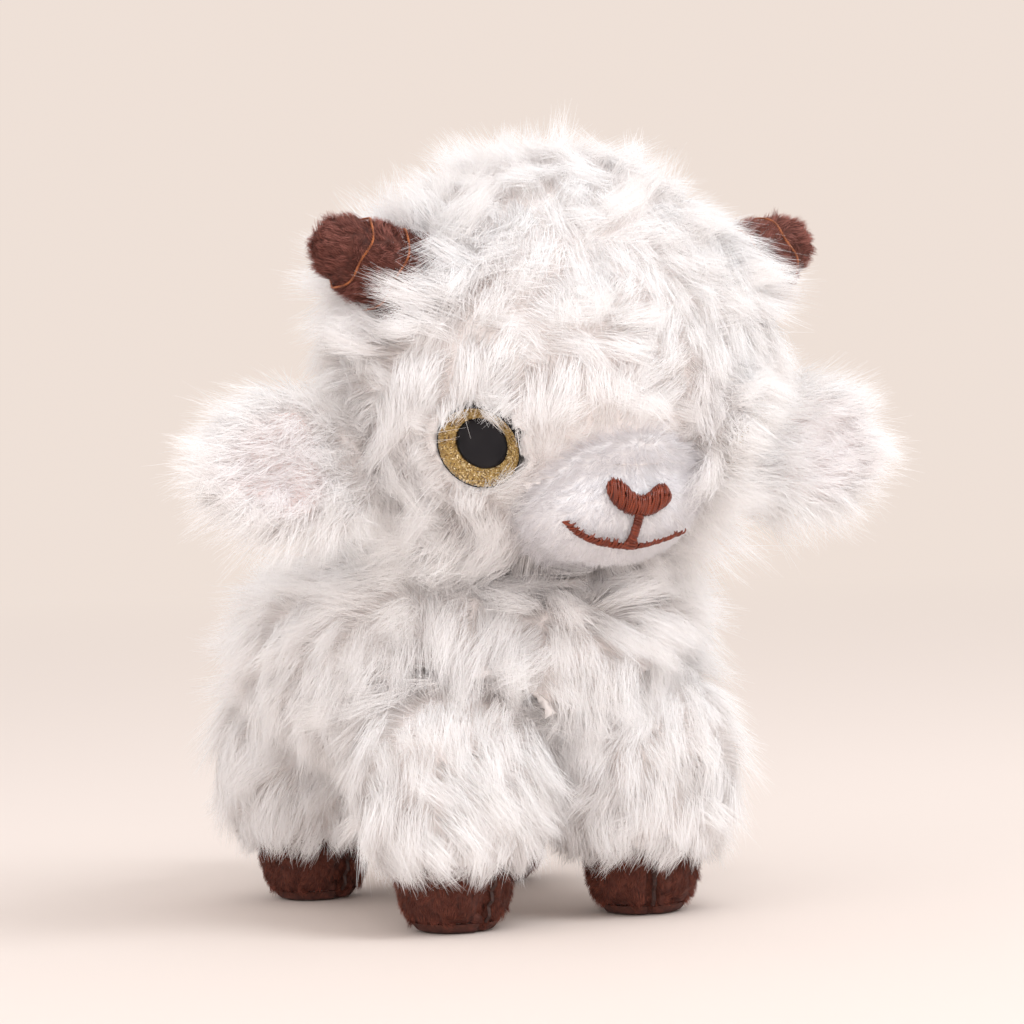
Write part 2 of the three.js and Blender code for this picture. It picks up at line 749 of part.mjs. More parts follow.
function ear(name, side) {
  const onSide = (geometry) => solid(side === sides.left ? geometry : mirrored(geometry));
  const lining = (grown) => onSide(leaf(
    earRootRadius + earLiningMargin - grown,
    earLength - earLiningMargin + grown,
    earHalfHeight - earLiningMargin + grown,
    earLiningThickness / 2 + grown,
    earHalfThickness - earLiningThickness / 2,
  ));
  const back = onSide(leaf(-earRootSink, earLength, earHalfHeight, earHalfThickness, 0))
    .add(onSide(earRoot(earRootRadius, earRootHalfHeight)))
    .subtract(lining(touchGap));
  return group(
    earPlace(side),
    piece(`${name}_ear_back`, back, wool),
    piece(`${name}_ear_lining`, lining(0), pinkPile),
  );
}

function earSocket(side) {
  const room = earRoot(
    seatRadius(earRootRadius, swingGap, smallSides),
    seatRadius(earRootHalfHeight, swingGap, smallSides),
  );
  return solid(side === sides.left ? room : mirrored(room)).translate(...earPlace(side));
}

function head() {
  const pair = Object.values(sides);
  const form = reshaped(ball(1, headSides), (point) => {
    const cheek = THREE.MathUtils.smoothstep(Math.abs(point.x), cheekStartShare, 1);
    point.multiplyScalar(headRadius + cheekSwell * cheek);
  });
  const cuts = [
    solid(ball(headCore, coreSides)),
    solid(neckBore(neckOpening, 0, headRadius + cutOverrun)),
    muzzleForm(touchGap),
    ...pair.flatMap((side) => [eyeSocket(side), hornSocket(side), earSocket(side)]),
  ];
  const fur = cuts.reduce((rest, cut) => rest.subtract(cut), solid(form));
  const stuffing = pair.reduce(
    (rest, side) => rest.subtract(washerSocket(side)),
    solid(ball(headCore - touchGap, coreSides)),
  );
  return [
    piece('head_fur', fur, wool),
    piece('head_stuffing', stuffing, fibre),
    piece('muzzle', muzzleForm(0).subtract(solid(ball(headCore, coreSides))), shortPile),
    piece('nose_embroidery', embroidery(noseShape()), brownThread),
    piece('mouth_embroidery', embroidery(mouthShape(), philtrumShape()), brownThread),
  ];
}

// The whole sheep, with its origin on the floor at the middle of its outline
const sheep = new THREE.Group();
sheep.add(...body(), tail());
Object.entries(legPlaces).forEach(([name, [side, end]]) => {
  sheep.add(group(new THREE.Vector3(side * legHalfTrack, end * legHalfBase, 0), ...leg(name, side)));
});
const headGroup = group(headCentre, neckSeam(), ...head());
Object.entries(sides).forEach(([name, side]) => {
  headGroup.add(...eyeParts(name, side), ...horn(name, side), ear(name, side));
});
sheep.add(headGroup);

const outline = new THREE.Box3().setFromObject(sheep, true);
sheep.position.y = -(outline.min.y + outline.max.y) / 2;

export default sheep;
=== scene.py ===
"""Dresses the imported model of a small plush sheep: wool, short pile, horns, hooves, eyes and face.

Metres, +Z up. The sheep faces -Y and its own left side is +X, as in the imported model.
Lengths below are in millimetres until MM brings them to metres.
"""

import json
import math

import bmesh
import bpy
import numpy as np
from mathutils import Matrix, Vector, noise
from mathutils.bvhtree import BVHTree


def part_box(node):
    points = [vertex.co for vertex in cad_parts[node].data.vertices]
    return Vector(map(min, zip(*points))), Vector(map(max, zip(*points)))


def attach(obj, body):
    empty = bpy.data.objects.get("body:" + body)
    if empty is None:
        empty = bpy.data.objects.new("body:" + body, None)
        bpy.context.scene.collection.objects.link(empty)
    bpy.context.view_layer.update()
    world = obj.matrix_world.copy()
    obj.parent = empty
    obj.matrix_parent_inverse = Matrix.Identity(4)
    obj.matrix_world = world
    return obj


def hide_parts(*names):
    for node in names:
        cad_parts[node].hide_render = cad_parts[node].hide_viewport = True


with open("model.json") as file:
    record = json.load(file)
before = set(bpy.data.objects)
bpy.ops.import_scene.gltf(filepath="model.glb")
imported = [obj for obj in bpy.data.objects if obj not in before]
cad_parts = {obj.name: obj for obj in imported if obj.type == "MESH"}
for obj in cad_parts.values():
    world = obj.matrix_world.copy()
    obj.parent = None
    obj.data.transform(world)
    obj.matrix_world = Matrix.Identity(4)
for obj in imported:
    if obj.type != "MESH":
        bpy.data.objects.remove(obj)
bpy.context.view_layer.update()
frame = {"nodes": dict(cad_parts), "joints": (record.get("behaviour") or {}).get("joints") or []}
noise.seed_set(7)

MM = 0.001
LEGS = ("front_left", "front_right", "rear_left", "rear_right")
SIDES = {"left": 1, "right": -1}

# Where the main forms are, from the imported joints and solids
HEAD = next(np.array(j["pos_m"]) for j in frame["joints"] if j["name"] == "head_turn")
BODY = sum(np.array(corner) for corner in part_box("body_fur")) / 2
HEAD_RADIUS = 35 * MM


# Small tools for meshes and nodes

def object_from(name, mesh):
    made = bpy.data.objects.new(name, mesh)
    bpy.context.scene.collection.objects.link(made)
    return made


def smooth_shaded(mesh, smooth=True):
    mesh.polygons.foreach_set("use_smooth", [smooth] * len(mesh.polygons))


def mesh_object(name, vertices, faces, smooth=True):
    mesh = bpy.data.meshes.new(name)
    mesh.from_pydata([tuple(v) for v in vertices], [], [tuple(f) for f in faces])
    mesh.validate()
    smooth_shaded(mesh, smooth)
    return object_from(name, mesh)


def settled(piece):
    """The piece with its modifiers applied, as a plain mesh on the same object."""
    graph = bpy.context.evaluated_depsgraph_get()
    mesh = bpy.data.meshes.new_from_object(piece.evaluated_get(graph))
    piece.modifiers.clear()
    old, piece.data = piece.data, mesh
    bpy.data.meshes.remove(old)
    return piece


def points_of(mesh):
    flat = np.empty(len(mesh.vertices) * 3, np.float32)
    mesh.vertices.foreach_get("co", flat)
    return flat.reshape(-1, 3).astype(float)


def normals_of(mesh):
    flat = np.empty(len(mesh.vertices) * 3, np.float32)
    mesh.vertex_normals.foreach_get("vector", flat)
    return flat.reshape(-1, 3).astype(float)


def move_points(mesh, points):
    mesh.vertices.foreach_set("co", np.asarray(points, np.float32).ravel())
    mesh.update()


def unit(vectors):
    vectors = np.asarray(vectors, float)
    return vectors / np.maximum(np.linalg.norm(vectors, axis=-1, keepdims=True), 1e-9)


def smooth_step(value, low, high):
    share = np.clip((value - low) / (high - low), 0, 1)
    return share * share * (3 - 2 * share)


def store(mesh, name, values):
    kind = "FLOAT_VECTOR" if np.ndim(values) == 2 else "FLOAT"
    field = mesh.attributes.new(name, kind, "POINT")
    field.data.foreach_set("vector" if kind == "FLOAT_VECTOR" else "value",
                           np.asarray(values, np.float32).ravel())


def add_node(tree, kind, links=None, **settings):
    """A node with its settings made and its inputs given a value or a link."""
    node = tree.nodes.new(kind)
    for key, value in settings.items():
        setattr(node, key, value)
    for key, value in (links or {}).items():
        if isinstance(value, bpy.types.NodeSocket):
            tree.links.new(value, node.inputs[key])
        else:
            node.inputs[key].default_value = value
    return node


def mix_shaders(tree, share, first, second, output="Material Output"):
    """Ends a tree in a mix of two shaders."""
    mix = add_node(tree, "ShaderNodeMixShader", {"Fac": share, 1: first, 2: second})
    tree.links.new(mix.outputs[0], tree.nodes[output].inputs["Surface"])


class Sums:
    """Short names for the arithmetic nodes of one tree."""

    def __init__(self, tree):
        self.tree = tree

    def number(self, operation, *values):
        return add_node(self.tree, "ShaderNodeMath", dict(enumerate(values)),
                        operation=operation).outputs[0]

    def plus(self, first, second):
        return self.number("ADD", first, second)

    def less(self, first, second):
        return self.number("SUBTRACT", first, second)

    def times(self, first, *others):
        for other in others:
            first = self.number("MULTIPLY", first, other)
        return first

    def vector(self, operation, *values):
        node = add_node(self.tree, "ShaderNodeVectorMath", dict(enumerate(values)),
                        operation=operation)
        return node.outputs["Value" if operation == "LENGTH" else 0]

    def scaled(self, vector, factor):
        return add_node(self.tree, "ShaderNodeVectorMath", {0: vector, "Scale": factor},
                        operation="SCALE").outputs[0]

    def total(self, first, *others):
        for other in others:
            first = self.vector("ADD", first, other)
        return first


# Threads and turned pieces

def strip_map(mesh, values):
    """A map named OFBake that puts every corner at its vertex's place on a shared strip."""
    layer = mesh.uv_layers.new(name="OFBake")
    corners = np.empty(len(mesh.loops), np.int32)
    mesh.loops.foreach_get("vertex_index", corners)
    layer.data.foreach_set("uv", np.asarray(values, np.float32)[corners].ravel())


def threads(name, paths, radius, seed, sides=6):
    """Round threads with closed ends along paths, each with its own tint."""
    chance = np.random.default_rng(seed)
    vertices, faces, strip = [], [], []
    for path in paths:
        path = np.asarray(path)
        along = unit(np.gradient(path, axis=0))
        aside = unit(np.cross(along, (0.31, 0.17, 0.93)))
        rise = np.cross(along, aside)
        first, tint = len(vertices), chance.uniform(0.05, 0.95)
        for i, point in enumerate(path):
            size = radius * (0.55 if i in (0, len(path) - 1) else 1)
            for k in range(sides):
                angle = 2 * math.pi * k / sides
                vertices.append(point + size * (aside[i] * math.cos(angle)
                                                + rise[i] * math.sin(angle)))
                strip.append((tint, 0.03 + 0.94 * i / (len(path) - 1)))
        for i in range(len(path) - 1):
            for k in range(sides):
                near, far = first + i * sides, first + (i + 1) * sides
                faces.append((near + k, near + (k + 1) % sides, far + (k + 1) % sides, far + k))
        faces.append([first + k for k in range(sides)][::-1])
        faces.append([first + (len(path) - 1) * sides + k for k in range(sides)])
    piece = mesh_object(name, vertices, faces)
    strip_map(piece.data, strip)
    return piece


def turned(name, way, profile, sides=72):
    """A round piece about a line through the head's middle, from rows of radius and height."""
    across = unit(np.cross(way, (0.0, 0.0, 1.0)))
    upward = np.cross(across, way)
    vertices, faces, rows = [], [], []
    for radius, height in profile:
        rows.append(len(vertices))
        count = sides if radius > 0 else 1
        for k in range(count):
            angle = 2 * math.pi * k / sides
            vertices.append(HEAD + MM * (way * height + radius * (
                across * math.cos(angle) + upward * math.sin(angle))))
    rows.append(len(vertices))
    for near, far, end in zip(rows, rows[1:], rows[2:]):
        for k in range(sides):
            after = (k + 1) % sides
            if far - near == 1:
                faces.append((near, far + k, far + after))
            elif end - far == 1:
                faces.append((near + after, near + k, far))
            else:
                faces.append((near + after, near + k, far + k, far + after))
    return mesh_object(name, vertices, faces)


# The tree that grows pile on a skin

ARROW = "FLOAT_VECTOR"
EVERY_WAY = (-1, -1, -1), (1, 1, 1)


def pile_tree():
    """Hairs on a skin that carries cover, pile and lay, gathered into tufts at their tips."""
    tree = bpy.data.node_groups.new("Pile on a skin", "GeometryNodeTree")
    for name, kind, value in (
            ("Skin", "Geometry", None), ("Hairs per area", "Float", 5e6),
            ("Tuft spacing", "Float", 0.003), ("Length", "Float", 0.009),
            ("Width", "Float", 0.00016), ("Rise", "Float", 0.6), ("Scatter", "Float", 0.4),
            ("Gather", "Float", 0.7), ("Stray", "Float", 0.12), ("Curl", "Float", 0.0006),
            ("Rings", "Int", 3), ("Seed", "Int", 1), ("Finish", "Material", None)):
        socket = tree.interface.new_socket(name, in_out="INPUT", socket_type="NodeSocket" + kind)
        if value is not None:
            socket.default_value = value
    tree.interface.new_socket("Pile", in_out="OUTPUT", socket_type="NodeSocketGeometry")
    given = tree.nodes.new("NodeGroupInput").outputs
    sums = Sums(tree)

    def named(name, kind="FLOAT"):
        return add_node(tree, "GeometryNodeInputNamedAttribute", {"Name": name},
                        data_type=kind).outputs["Attribute"]

    def arrow(name):
        return named(name, ARROW)

    def kept(geometry, name, value, kind="FLOAT", domain="POINT"):
        return add_node(tree, "GeometryNodeStoreNamedAttribute",
                        {"Geometry": geometry, "Name": name, "Value": value},
                        data_type=kind, domain=domain).outputs["Geometry"]

    def chance(low, high, offset):
        node = add_node(tree, "FunctionNodeRandomValue",
                        data_type=ARROW if isinstance(low, tuple) else "FLOAT")
        ends = [s for s in node.inputs if s.enabled]
        ends[0].default_value, ends[1].default_value = low, high
        tree.links.new(sums.plus(given["Seed"], offset), node.inputs["Seed"])
        return [s for s in node.outputs if s.enabled][0]

    # Tufts: one leading hair each
    tufts = add_node(tree, "GeometryNodeDistributePointsOnFaces", {
        "Mesh": given["Skin"], "Distance Min": given["Tuft spacing"], "Density Max": 4e6,
        "Density Factor": named("cover"), "Seed": given["Seed"]}, distribute_method="POISSON")
    lean = sums.total(sums.scaled(tufts.outputs["Normal"], given["Rise"]), arrow("lay"),
                      sums.scaled(chance(*EVERY_WAY, 11), given["Scatter"]))
    reach = sums.times(given["Length"], named("pile"), chance(0.8, 1.12, 12))
    tuft_points = kept(tufts.outputs["Points"], "tuft_tip",
                       sums.scaled(sums.vector("NORMALIZE", lean), reach), ARROW)
    tuft_points = kept(tuft_points, "tuft_side", sums.vector("NORMALIZE", sums.vector(
        "CROSS_PRODUCT", arrow("tuft_tip"), chance(*EVERY_WAY, 13))), ARROW)
    tuft_points = kept(tuft_points, "tuft_phase", chance(0.0, 6.2832, 14))
    tuft_points = kept(tuft_points, "tuft_tint", chance(0.0, 1.0, 15))

    # Hairs: each follows its nearest tuft
    hairs = add_node(tree, "GeometryNodeDistributePointsOnFaces", {
        "Mesh": given["Skin"], "Density": sums.times(given["Hairs per area"], named("cover")),
        "Seed": sums.plus(given["Seed"], 5)}, distribute_method="RANDOM")
    place = tree.nodes.new("GeometryNodeInputPosition").outputs[0]
    nearest = add_node(tree, "GeometryNodeSampleNearest", {"Geometry": tuft_points},
                       domain="POINT").outputs["Index"]

    def from_tuft(value, kind=ARROW):
        node = add_node(tree, "GeometryNodeSampleIndex",
                        {"Geometry": tuft_points, "Index": nearest},
                        data_type=kind, domain="POINT")
        tree.links.new(value, [s for s in node.inputs if s.name == "Value" and s.enabled][0])
        return [s for s in node.outputs if s.enabled][0]

    to_tuft = sums.vector("SUBTRACT", from_tuft(place), place)
    lead = from_tuft(arrow("tuft_tip"))
    reach = sums.vector("LENGTH", lead)
    tip = sums.total(
        sums.scaled(lead, chance(0.72, 1.05, 21)),
        sums.scaled(to_tuft, sums.times(given["Gather"], chance(0.75, 1.1, 22))),
        sums.scaled(chance(*EVERY_WAY, 23), sums.times(reach, given["Stray"])))
    face = sums.total(arrow("up"), sums.scaled(chance(*EVERY_WAY, 24), 0.6))
    tint = sums.plus(sums.times(from_tuft(named("tuft_tint"), "FLOAT"), 0.6),
                     sums.times(chance(0.0, 1.0, 25), 0.4))
    points = hairs.outputs["Points"]
    for name, value, kind in (
            ("root", place, ARROW), ("up", hairs.outputs["Normal"], ARROW), ("tip", tip, ARROW),
            ("bend", sums.scaled(arrow("up"), sums.times(reach, 0.5)), ARROW),
            ("side", from_tuft(arrow("tuft_side")), ARROW),
            ("phase", from_tuft(named("tuft_phase"), "FLOAT"), "FLOAT"),
            ("face", face, ARROW), ("tint", tint, "FLOAT")):
        points = kept(points, name, value, kind)

    # One flat blade, then a copy of it for every hair
    blade = add_node(tree, "GeometryNodeMeshGrid", {
        "Size X": 1.0, "Size Y": 1.0, "Vertices X": 2, "Vertices Y": given["Rings"]})
    spot = add_node(tree, "ShaderNodeSeparateXYZ", {0: place}).outputs
    strip = kept(blade.outputs["Mesh"], "along", sums.plus(spot["Y"], 0.5))
    strip = kept(strip, "across", spot["X"])
    copies = add_node(tree, "GeometryNodeInstanceOnPoints", {"Points": points, "Instance": strip})
    real = add_node(tree, "GeometryNodeRealizeInstances",
                    {"Geometry": copies.outputs["Instances"]}).outputs["Geometry"]

    # Bend every blade along its own hair, which is a curve from root over bend to tip
    along = named("along")
    twice = sums.times(along, 2.0)
    tip, bend = arrow("tip"), arrow("bend")
    spine = sums.total(arrow("root"),
                       sums.scaled(bend, sums.times(along, sums.less(1.0, along), 2.0)),
                       sums.scaled(tip, sums.times(along, along)))
    heading = sums.total(sums.scaled(bend, sums.times(sums.less(1.0, twice), 2.0)),
                         sums.scaled(tip, twice))
    wave = sums.times(sums.number("SINE", sums.plus(sums.times(along, 4.6), named("phase"))),
                      along, given["Curl"])
    sideways = sums.vector("NORMALIZE", sums.vector("CROSS_PRODUCT", heading, arrow("face")))
    taper = sums.less(1.0, sums.times(sums.number("POWER", along, 1.6), 0.88))
    breadth = sums.times(named("across"), taper, given["Width"])
    there = sums.total(spine, sums.scaled(arrow("side"), wave), sums.scaled(sideways, breadth))
    bent = add_node(tree, "GeometryNodeSetPosition", {"Geometry": real, "Position": there})
    corner = add_node(tree, "ShaderNodeCombineXYZ", {
        "X": sums.plus(sums.times(named("tint"), 0.96), 0.02),
        "Y": sums.plus(sums.times(along, 0.96), 0.02)}).outputs[0]
    mapped = kept(bent.outputs["Geometry"], "OFBake", corner, "FLOAT2", "CORNER")
    finished = add_node(tree, "GeometryNodeSetMaterial",
                        {"Geometry": mapped, "Material": given["Finish"]})
    add_node(tree, "NodeGroupOutput", {"Pile": finished.outputs["Geometry"]})
    return tree


PILE = pile_tree()
SEED_STEP = 31
grown = 0


def grow(name, skin, cover, body, slot, finish, **sizes):
    """A piece of pile on a skin, as a plain mesh that rides on a body."""
    global grown
    grown += 1
    base = object_from(name, skin.data.copy())
    store(base.data, "cover", cover)
    modifier = base.modifiers.new("Pile", "NODES")
    modifier.node_group = PILE
    values = {key.replace("_", " ").capitalize(): value for key, value in sizes.items()}
    values.update(Seed=SEED_STEP * grown, Finish=finish)
    for item in PILE.interface.items_tree:
        if item.name in values:
            modifier[item.identifier] = values[item.name]
    settled(base)
    mesh = base.data
    for field in [a.name for a in mesh.attributes if not a.is_required and a.name != "OFBake"]:
        if not field.startswith((".", "sharp", "material")):
            mesh.attributes.remove(mesh.attributes[field])
    smooth_shaded(mesh)
    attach(base, body)
    return base


# Skins: the fabric under the pile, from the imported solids

RAY_ABOVE, RAY_BELOW = 0.4, 0.1
INSIDE = 0.25 * MM


def packed_points(node):
    return points_of(frame["nodes"][node].data)


def tree_of(meshes):
    vertices, faces = [], []
    for mesh in meshes:
        first = len(vertices)
        vertices += [v.co.copy() for v in mesh.vertices]
        faces += [[first + i for i in p.vertices] for p in mesh.polygons]
    return BVHTree.FromPolygons(vertices, faces)


def skin_of(name, node, voxel=1.3 * MM, sink=3.0 * MM, soften=6, own_reach=20 * MM,
            other_reach=0.7 * MM):
    """A packed soft form made fine and smooth, its outer side drawn in under the pile.

    The outer side is where no ray along the normal meets the form itself or a neighbour. The
    cover that comes back with the skin reaches a little beyond it, into the creases.
    """
    piece = object_from(name, frame["nodes"][node].data.copy())
    piece.data.materials.clear()
    edit = bmesh.new()
    edit.from_mesh(piece.data)
    bmesh.ops.remove_doubles(edit, verts=edit.verts, dist=1e-6)
    edit.to_mesh(piece.data)
    edit.free()
    own = tree_of([piece.data])
    others = tree_of([o.data for n, o in frame["nodes"].items() if n != node])
    remesh = piece.modifiers.new("Fine", "REMESH")
    remesh.mode = "VOXEL"
    remesh.voxel_size = voxel
    settled(piece)
    mesh = piece.data
    edges = np.array([e.vertices for e in mesh.edges])
    degree = np.bincount(edges.ravel(), minlength=len(mesh.vertices))[:, None]

    def averaged(values):
        total = np.zeros_like(values)
        np.add.at(total, edges[:, 0], values[edges[:, 1]])
        np.add.at(total, edges[:, 1], values[edges[:, 0]])
        return total / degree

    points, normals = points_of(mesh), normals_of(mesh)
    outer = np.ones((len(points), 1))
    for i, (point, normal) in enumerate(zip(points, normals)):
        above = Vector(point + normal * RAY_ABOVE * MM)
        below = Vector(point - normal * RAY_BELOW * MM)
        way = Vector(normal)
        if (own.ray_cast(above, way, own_reach)[0] is not None
                or others.ray_cast(below, way, other_reach)[0] is not None):
            outer[i] = 0
    for _ in range(3):
        outer = (outer + averaged(outer)) / 2
    for _ in range(soften):
        near = averaged(points)
        points = points + 0.6 * (near - points) * outer
    points = points - normals * (INSIDE + (sink - INSIDE) * smooth_step(outer, 0.3, 0.9))
    move_points(mesh, points)
    smooth_shaded(mesh)
    for _ in range(4):
        outer = averaged(outer)
    return piece, points_of(mesh), normals_of(mesh), smooth_step(outer[:, 0], 0.03, 0.25)


def wander(points, scale, seed):
    """Smooth random directions over space."""
    shift = Vector((seed * 3.1, seed * 7.7, seed * 5.3))
    return np.array([noise.noise_vector(Vector(p) / scale + shift) for p in points])


def combed(normals, flow, strength):
    """The part of a flow that lies along the skin."""
    flow = flow - normals * np.sum(flow * normals, axis=1, keepdims=True)
    length = np.linalg.norm(flow, axis=1, keepdims=True)
    return flow / np.maximum(length, 0.35) * strength


# Materials

def plain_material(name, color, roughness, **sockets):
    material = bpy.data.materials.new(name)
    material.use_nodes = True
    shader = material.node_tree.nodes["Principled BSDF"]
    shader.inputs["Base Color"].default_value = (*color, 1)
    shader.inputs["Roughness"].default_value = roughness
    for key, value in sockets.items():
        shader.inputs[key.replace("_", " ")].default_value = value
    return material, material.node_tree, shader


def ramp(tree, value, *stops):
    node = add_node(tree, "ShaderNodeValToRGB", {"Fac": value})
    band = node.color_ramp
    while len(band.elements) < len(stops):
        band.elements.new(0.5)
    for element, (position, color) in zip(band.elements, stops):
        element.position = position
        element.color = (*color, 1)
    return node.outputs["Color"]


def tone(tree, shader, value, *stops):
    """Colours a shader by a value, over stops of position and colour."""
    tree.links.new(ramp(tree, value, *stops), shader.inputs["Base Color"])


def strip_place(tree):
    """Where a corner lies on the shared strip: X is its tint, Y its share of the length."""
    uv = add_node(tree, "ShaderNodeUVMap", uv_map="OFBake").outputs[0]
    return add_node(tree, "ShaderNodeSeparateXYZ", {0: uv}).outputs


def texture(tree, kind, **inputs):
    """A procedural texture over the piece's own space."""
    where = add_node(tree, "ShaderNodeTexCoord").outputs["Object"]
    return add_node(tree, "ShaderNodeTex" + kind, {"Vector": where, **inputs}).outputs


def hair_material(name, root, tip, dark, roughness=0.75, through=0.5):
    """Hair that is darker at its root, as painted shade deep in the pile, with a spread of tints,
    and lets some light through.
    """
    material, tree, shader = plain_material(name, tip, roughness, Specular_IOR_Level=0.15)
    spot = strip_place(tree)
    # The darker root colour is painted shade where the pile lies deep.
    length = ramp(tree, spot["Y"], (0.0, root), (0.6, tip))
    tint = ramp(tree, spot["X"], (0.0, dark), (0.75, (1, 1, 1)))
    color = add_node(tree, "ShaderNodeMix", {"Factor": 1.0, 6: length, 7: tint},
                     data_type="RGBA", blend_type="MULTIPLY").outputs[2]
    tree.links.new(color, shader.inputs["Base Color"])
    glow = add_node(tree, "ShaderNodeBsdfTranslucent", {"Color": color})
    mix_shaders(tree, through, shader.outputs[0], glow.outputs[0])
    return material


def thread_material(name, low, high):
    """Glossy twisted thread: a tint for each stitch, and across its length fine bands of painted
    highlight and shade for the plies.
    """
    material, tree, shader = plain_material(name, high, 0.3, Specular_IOR_Level=0.5)
    spot, sums = strip_place(tree), Sums(tree)
    # A sine along the thread paints the highlights and shade of its twisted plies.
    ply = sums.number("SINE", sums.times(spot["Y"], 95.0))
    shade = sums.plus(sums.times(ply, 0.24), sums.plus(sums.times(spot["X"], 0.5), 0.25))
    tone(tree, shader, shade, (0.0, low), (1.0, high))
    return material


def fabric_material(name, low, high, roughness=0.9, grain=900.0, bump=0.25):
    """Cloth, fibre or plastic: two tones in a fine grain that also stands up a little."""
    material, tree, shader = plain_material(name, high, roughness)
    fibre = texture(tree, "Noise", Scale=grain, Detail=3.0)["Fac"]
    tone(tree, shader, fibre, (0.3, low), (0.7, high))
    height = add_node(tree, "ShaderNodeBump", {
        "Height": fibre, "Strength": bump, "Distance": 0.4 * MM})
    tree.links.new(height.outputs[0], shader.inputs["Normal"])
    return material


# Cloths: the slot, the look of the pile and that of the backing under it
# The wool's warm root and warm backing paint warm shade deep in the wool.
WOOL = ("wool",
        hair_material("Wool fibre", (0.984, 0.97, 0.964), (0.993, 0.992, 0.994),
                      (0.989, 0.983, 0.98)),
        fabric_material("Wool backing", (0.94, 0.9, 0.885), (0.975, 0.95, 0.94)))
SHORT_PILE = ("short_pile",
              hair_material("Short white pile", (0.83, 0.825, 0.835), (0.89, 0.887, 0.905),
                            (0.96, 0.955, 0.955)),
              fabric_material("Short pile backing", (0.81, 0.8, 0.81), (0.87, 0.86, 0.87)))
PINK_PILE = ("pink_pile",
             hair_material("Pale pink pile", (0.975, 0.95, 0.948), (0.993, 0.986, 0.989),
                           (0.987, 0.98, 0.982)),
             fabric_material("Pink backing", (0.95, 0.84, 0.81), (0.97, 0.88, 0.86)))
BROWN_PILE = ("brown_pile",
              hair_material("Brown pile", (0.08, 0.018, 0.011), (0.27, 0.085, 0.055),
                            (0.35, 0.3, 0.3), roughness=0.6, through=0.15),
              fabric_material("Brown backing", (0.045, 0.012, 0.008), (0.12, 0.035, 0.022)))
HORN_PILE = ("brown_pile",
             hair_material("Lighter brown pile", (0.12, 0.035, 0.025), (0.42, 0.165, 0.13),
                           (0.45, 0.38, 0.37), roughness=0.55, through=0.2),
             BROWN_PILE[2])
FACE_THREAD = thread_material("Red-brown satin thread", (0.05, 0.006, 0.003),
                              (0.29, 0.046, 0.012))
SEAM_THREAD = thread_material("Orange-brown seam thread", (0.16, 0.04, 0.015),
                              (0.55, 0.17, 0.05))
WHITE_THREAD = fabric_material("White thread", (0.8, 0.79, 0.77), (0.94, 0.93, 0.91),
                               roughness=0.6, grain=2500.0)
WASHER_PLASTIC = fabric_material("Milky plastic", (0.78, 0.78, 0.76), (0.84, 0.84, 0.82),
                                 roughness=0.35, grain=150.0, bump=0.02)
# Near-black thread in the hoof's cleft: the thread is real, and its darkness is painted shade of the
# groove.
CLEFT_THREAD_AND_SHADE = fabric_material("Dark brown thread and groove shade", (0.02, 0.007, 0.005), (0.06, 0.02, 0.014),
                               roughness=0.6, grain=2500.0)
FIBRE = fabric_material("Stuffing fibre", (0.82, 0.81, 0.78), (0.96, 0.95, 0.93), grain=500.0,
                        bump=0.6)

QUICK = 1.0
DENSITY = 7.9e6 * QUICK
WIDTH = 0.14 * MM / math.sqrt(QUICK)
WOOL_TUFTS = 3.4 * MM
DOWN = np.array([0.0, 0.0, -1.0])
PANEL_SOFTNESS = 0.12


def dress(material, *nodes):
    """Gives carried-over solids their material."""
    for node in nodes:
        piece = frame["nodes"][node]
        if not piece.material_slots:
            piece.data.materials.append(material)
        for holder in piece.material_slots:
            holder.material = material


dress(FIBRE, "body_stuffing", "head_stuffing", "tail_stuffing",
      *(f"{leg}_leg_stuffing" for leg in LEGS), *(f"{side}_horn_stuffing" for side in SIDES))
dress(WHITE_THREAD, "closing_seam")
dress(WASHER_PLASTIC, *(f"{side}_eye_lock_washer" for side in SIDES))
dress(CLEFT_THREAD_AND_SHADE, *(f"{leg}_cleft_stitches" for leg in LEGS))


def finish(piece, body, slot, material, *nodes):
    """Gives a piece its material and body, and hides the nodes it takes over from; the slot is not
    used.
    """
    piece.data.materials.append(material)
    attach(piece, body)
    if nodes:
        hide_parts(*nodes)


def clothe(skin, node, body, cloth, lay, pile, shares, fill=0.85, **sizes):
    """Grows pile on a skin, as one piece for each share of its cover, and finishes the skin."""
    slot, fibre, backing = cloth
    store(skin.data, "lay", lay)
    store(skin.data, "pile", np.ones(len(lay)) * pile)
    for name, share in shares.items():
        grow(name, skin, share, body, slot, fibre,
             **{"hairs_per_area": DENSITY, "width": WIDTH, **sizes})
    finish(skin, body, slot, backing, node)


def in_panels(prefix, points, centre, cover, ways):
    """Splits the cover between panels that face different ways, without a gap or an overlap."""
    facing = unit(points - centre) @ unit(np.array(list(ways.values()))).T
    weight = np.exp(facing / PANEL_SOFTNESS)
    weight /= weight.sum(axis=1, keepdims=True)
    return {f"{prefix}_{name}": cover * weight[:, i] for i, name in enumerate(ways)}


# Head

EYE_TURN, EYE_DIP = math.radians(49), math.radians(23)
MUZZLE_DIP = math.radians(49.2)
MUZZLE_REACH = 29.1 * MM


def way_to(turn, dip):
    return np.array([math.sin(turn) * math.cos(dip), -math.cos(turn) * math.cos(dip),
                     -math.sin(dip)])


EYE_WAYS = {name: way_to(side * EYE_TURN, EYE_DIP) for name, side in SIDES.items()}
MUZZLE_WAY = way_to(0, MUZZLE_DIP)
MUZZLE_UP = np.array([0.0, -math.sin(MUZZLE_DIP), math.cos(MUZZLE_DIP)])
MUZZLE = HEAD + MUZZLE_WAY * MUZZLE_REACH
MUZZLE_HALF = np.array([16.2, 11.3, 11.3]) * MM


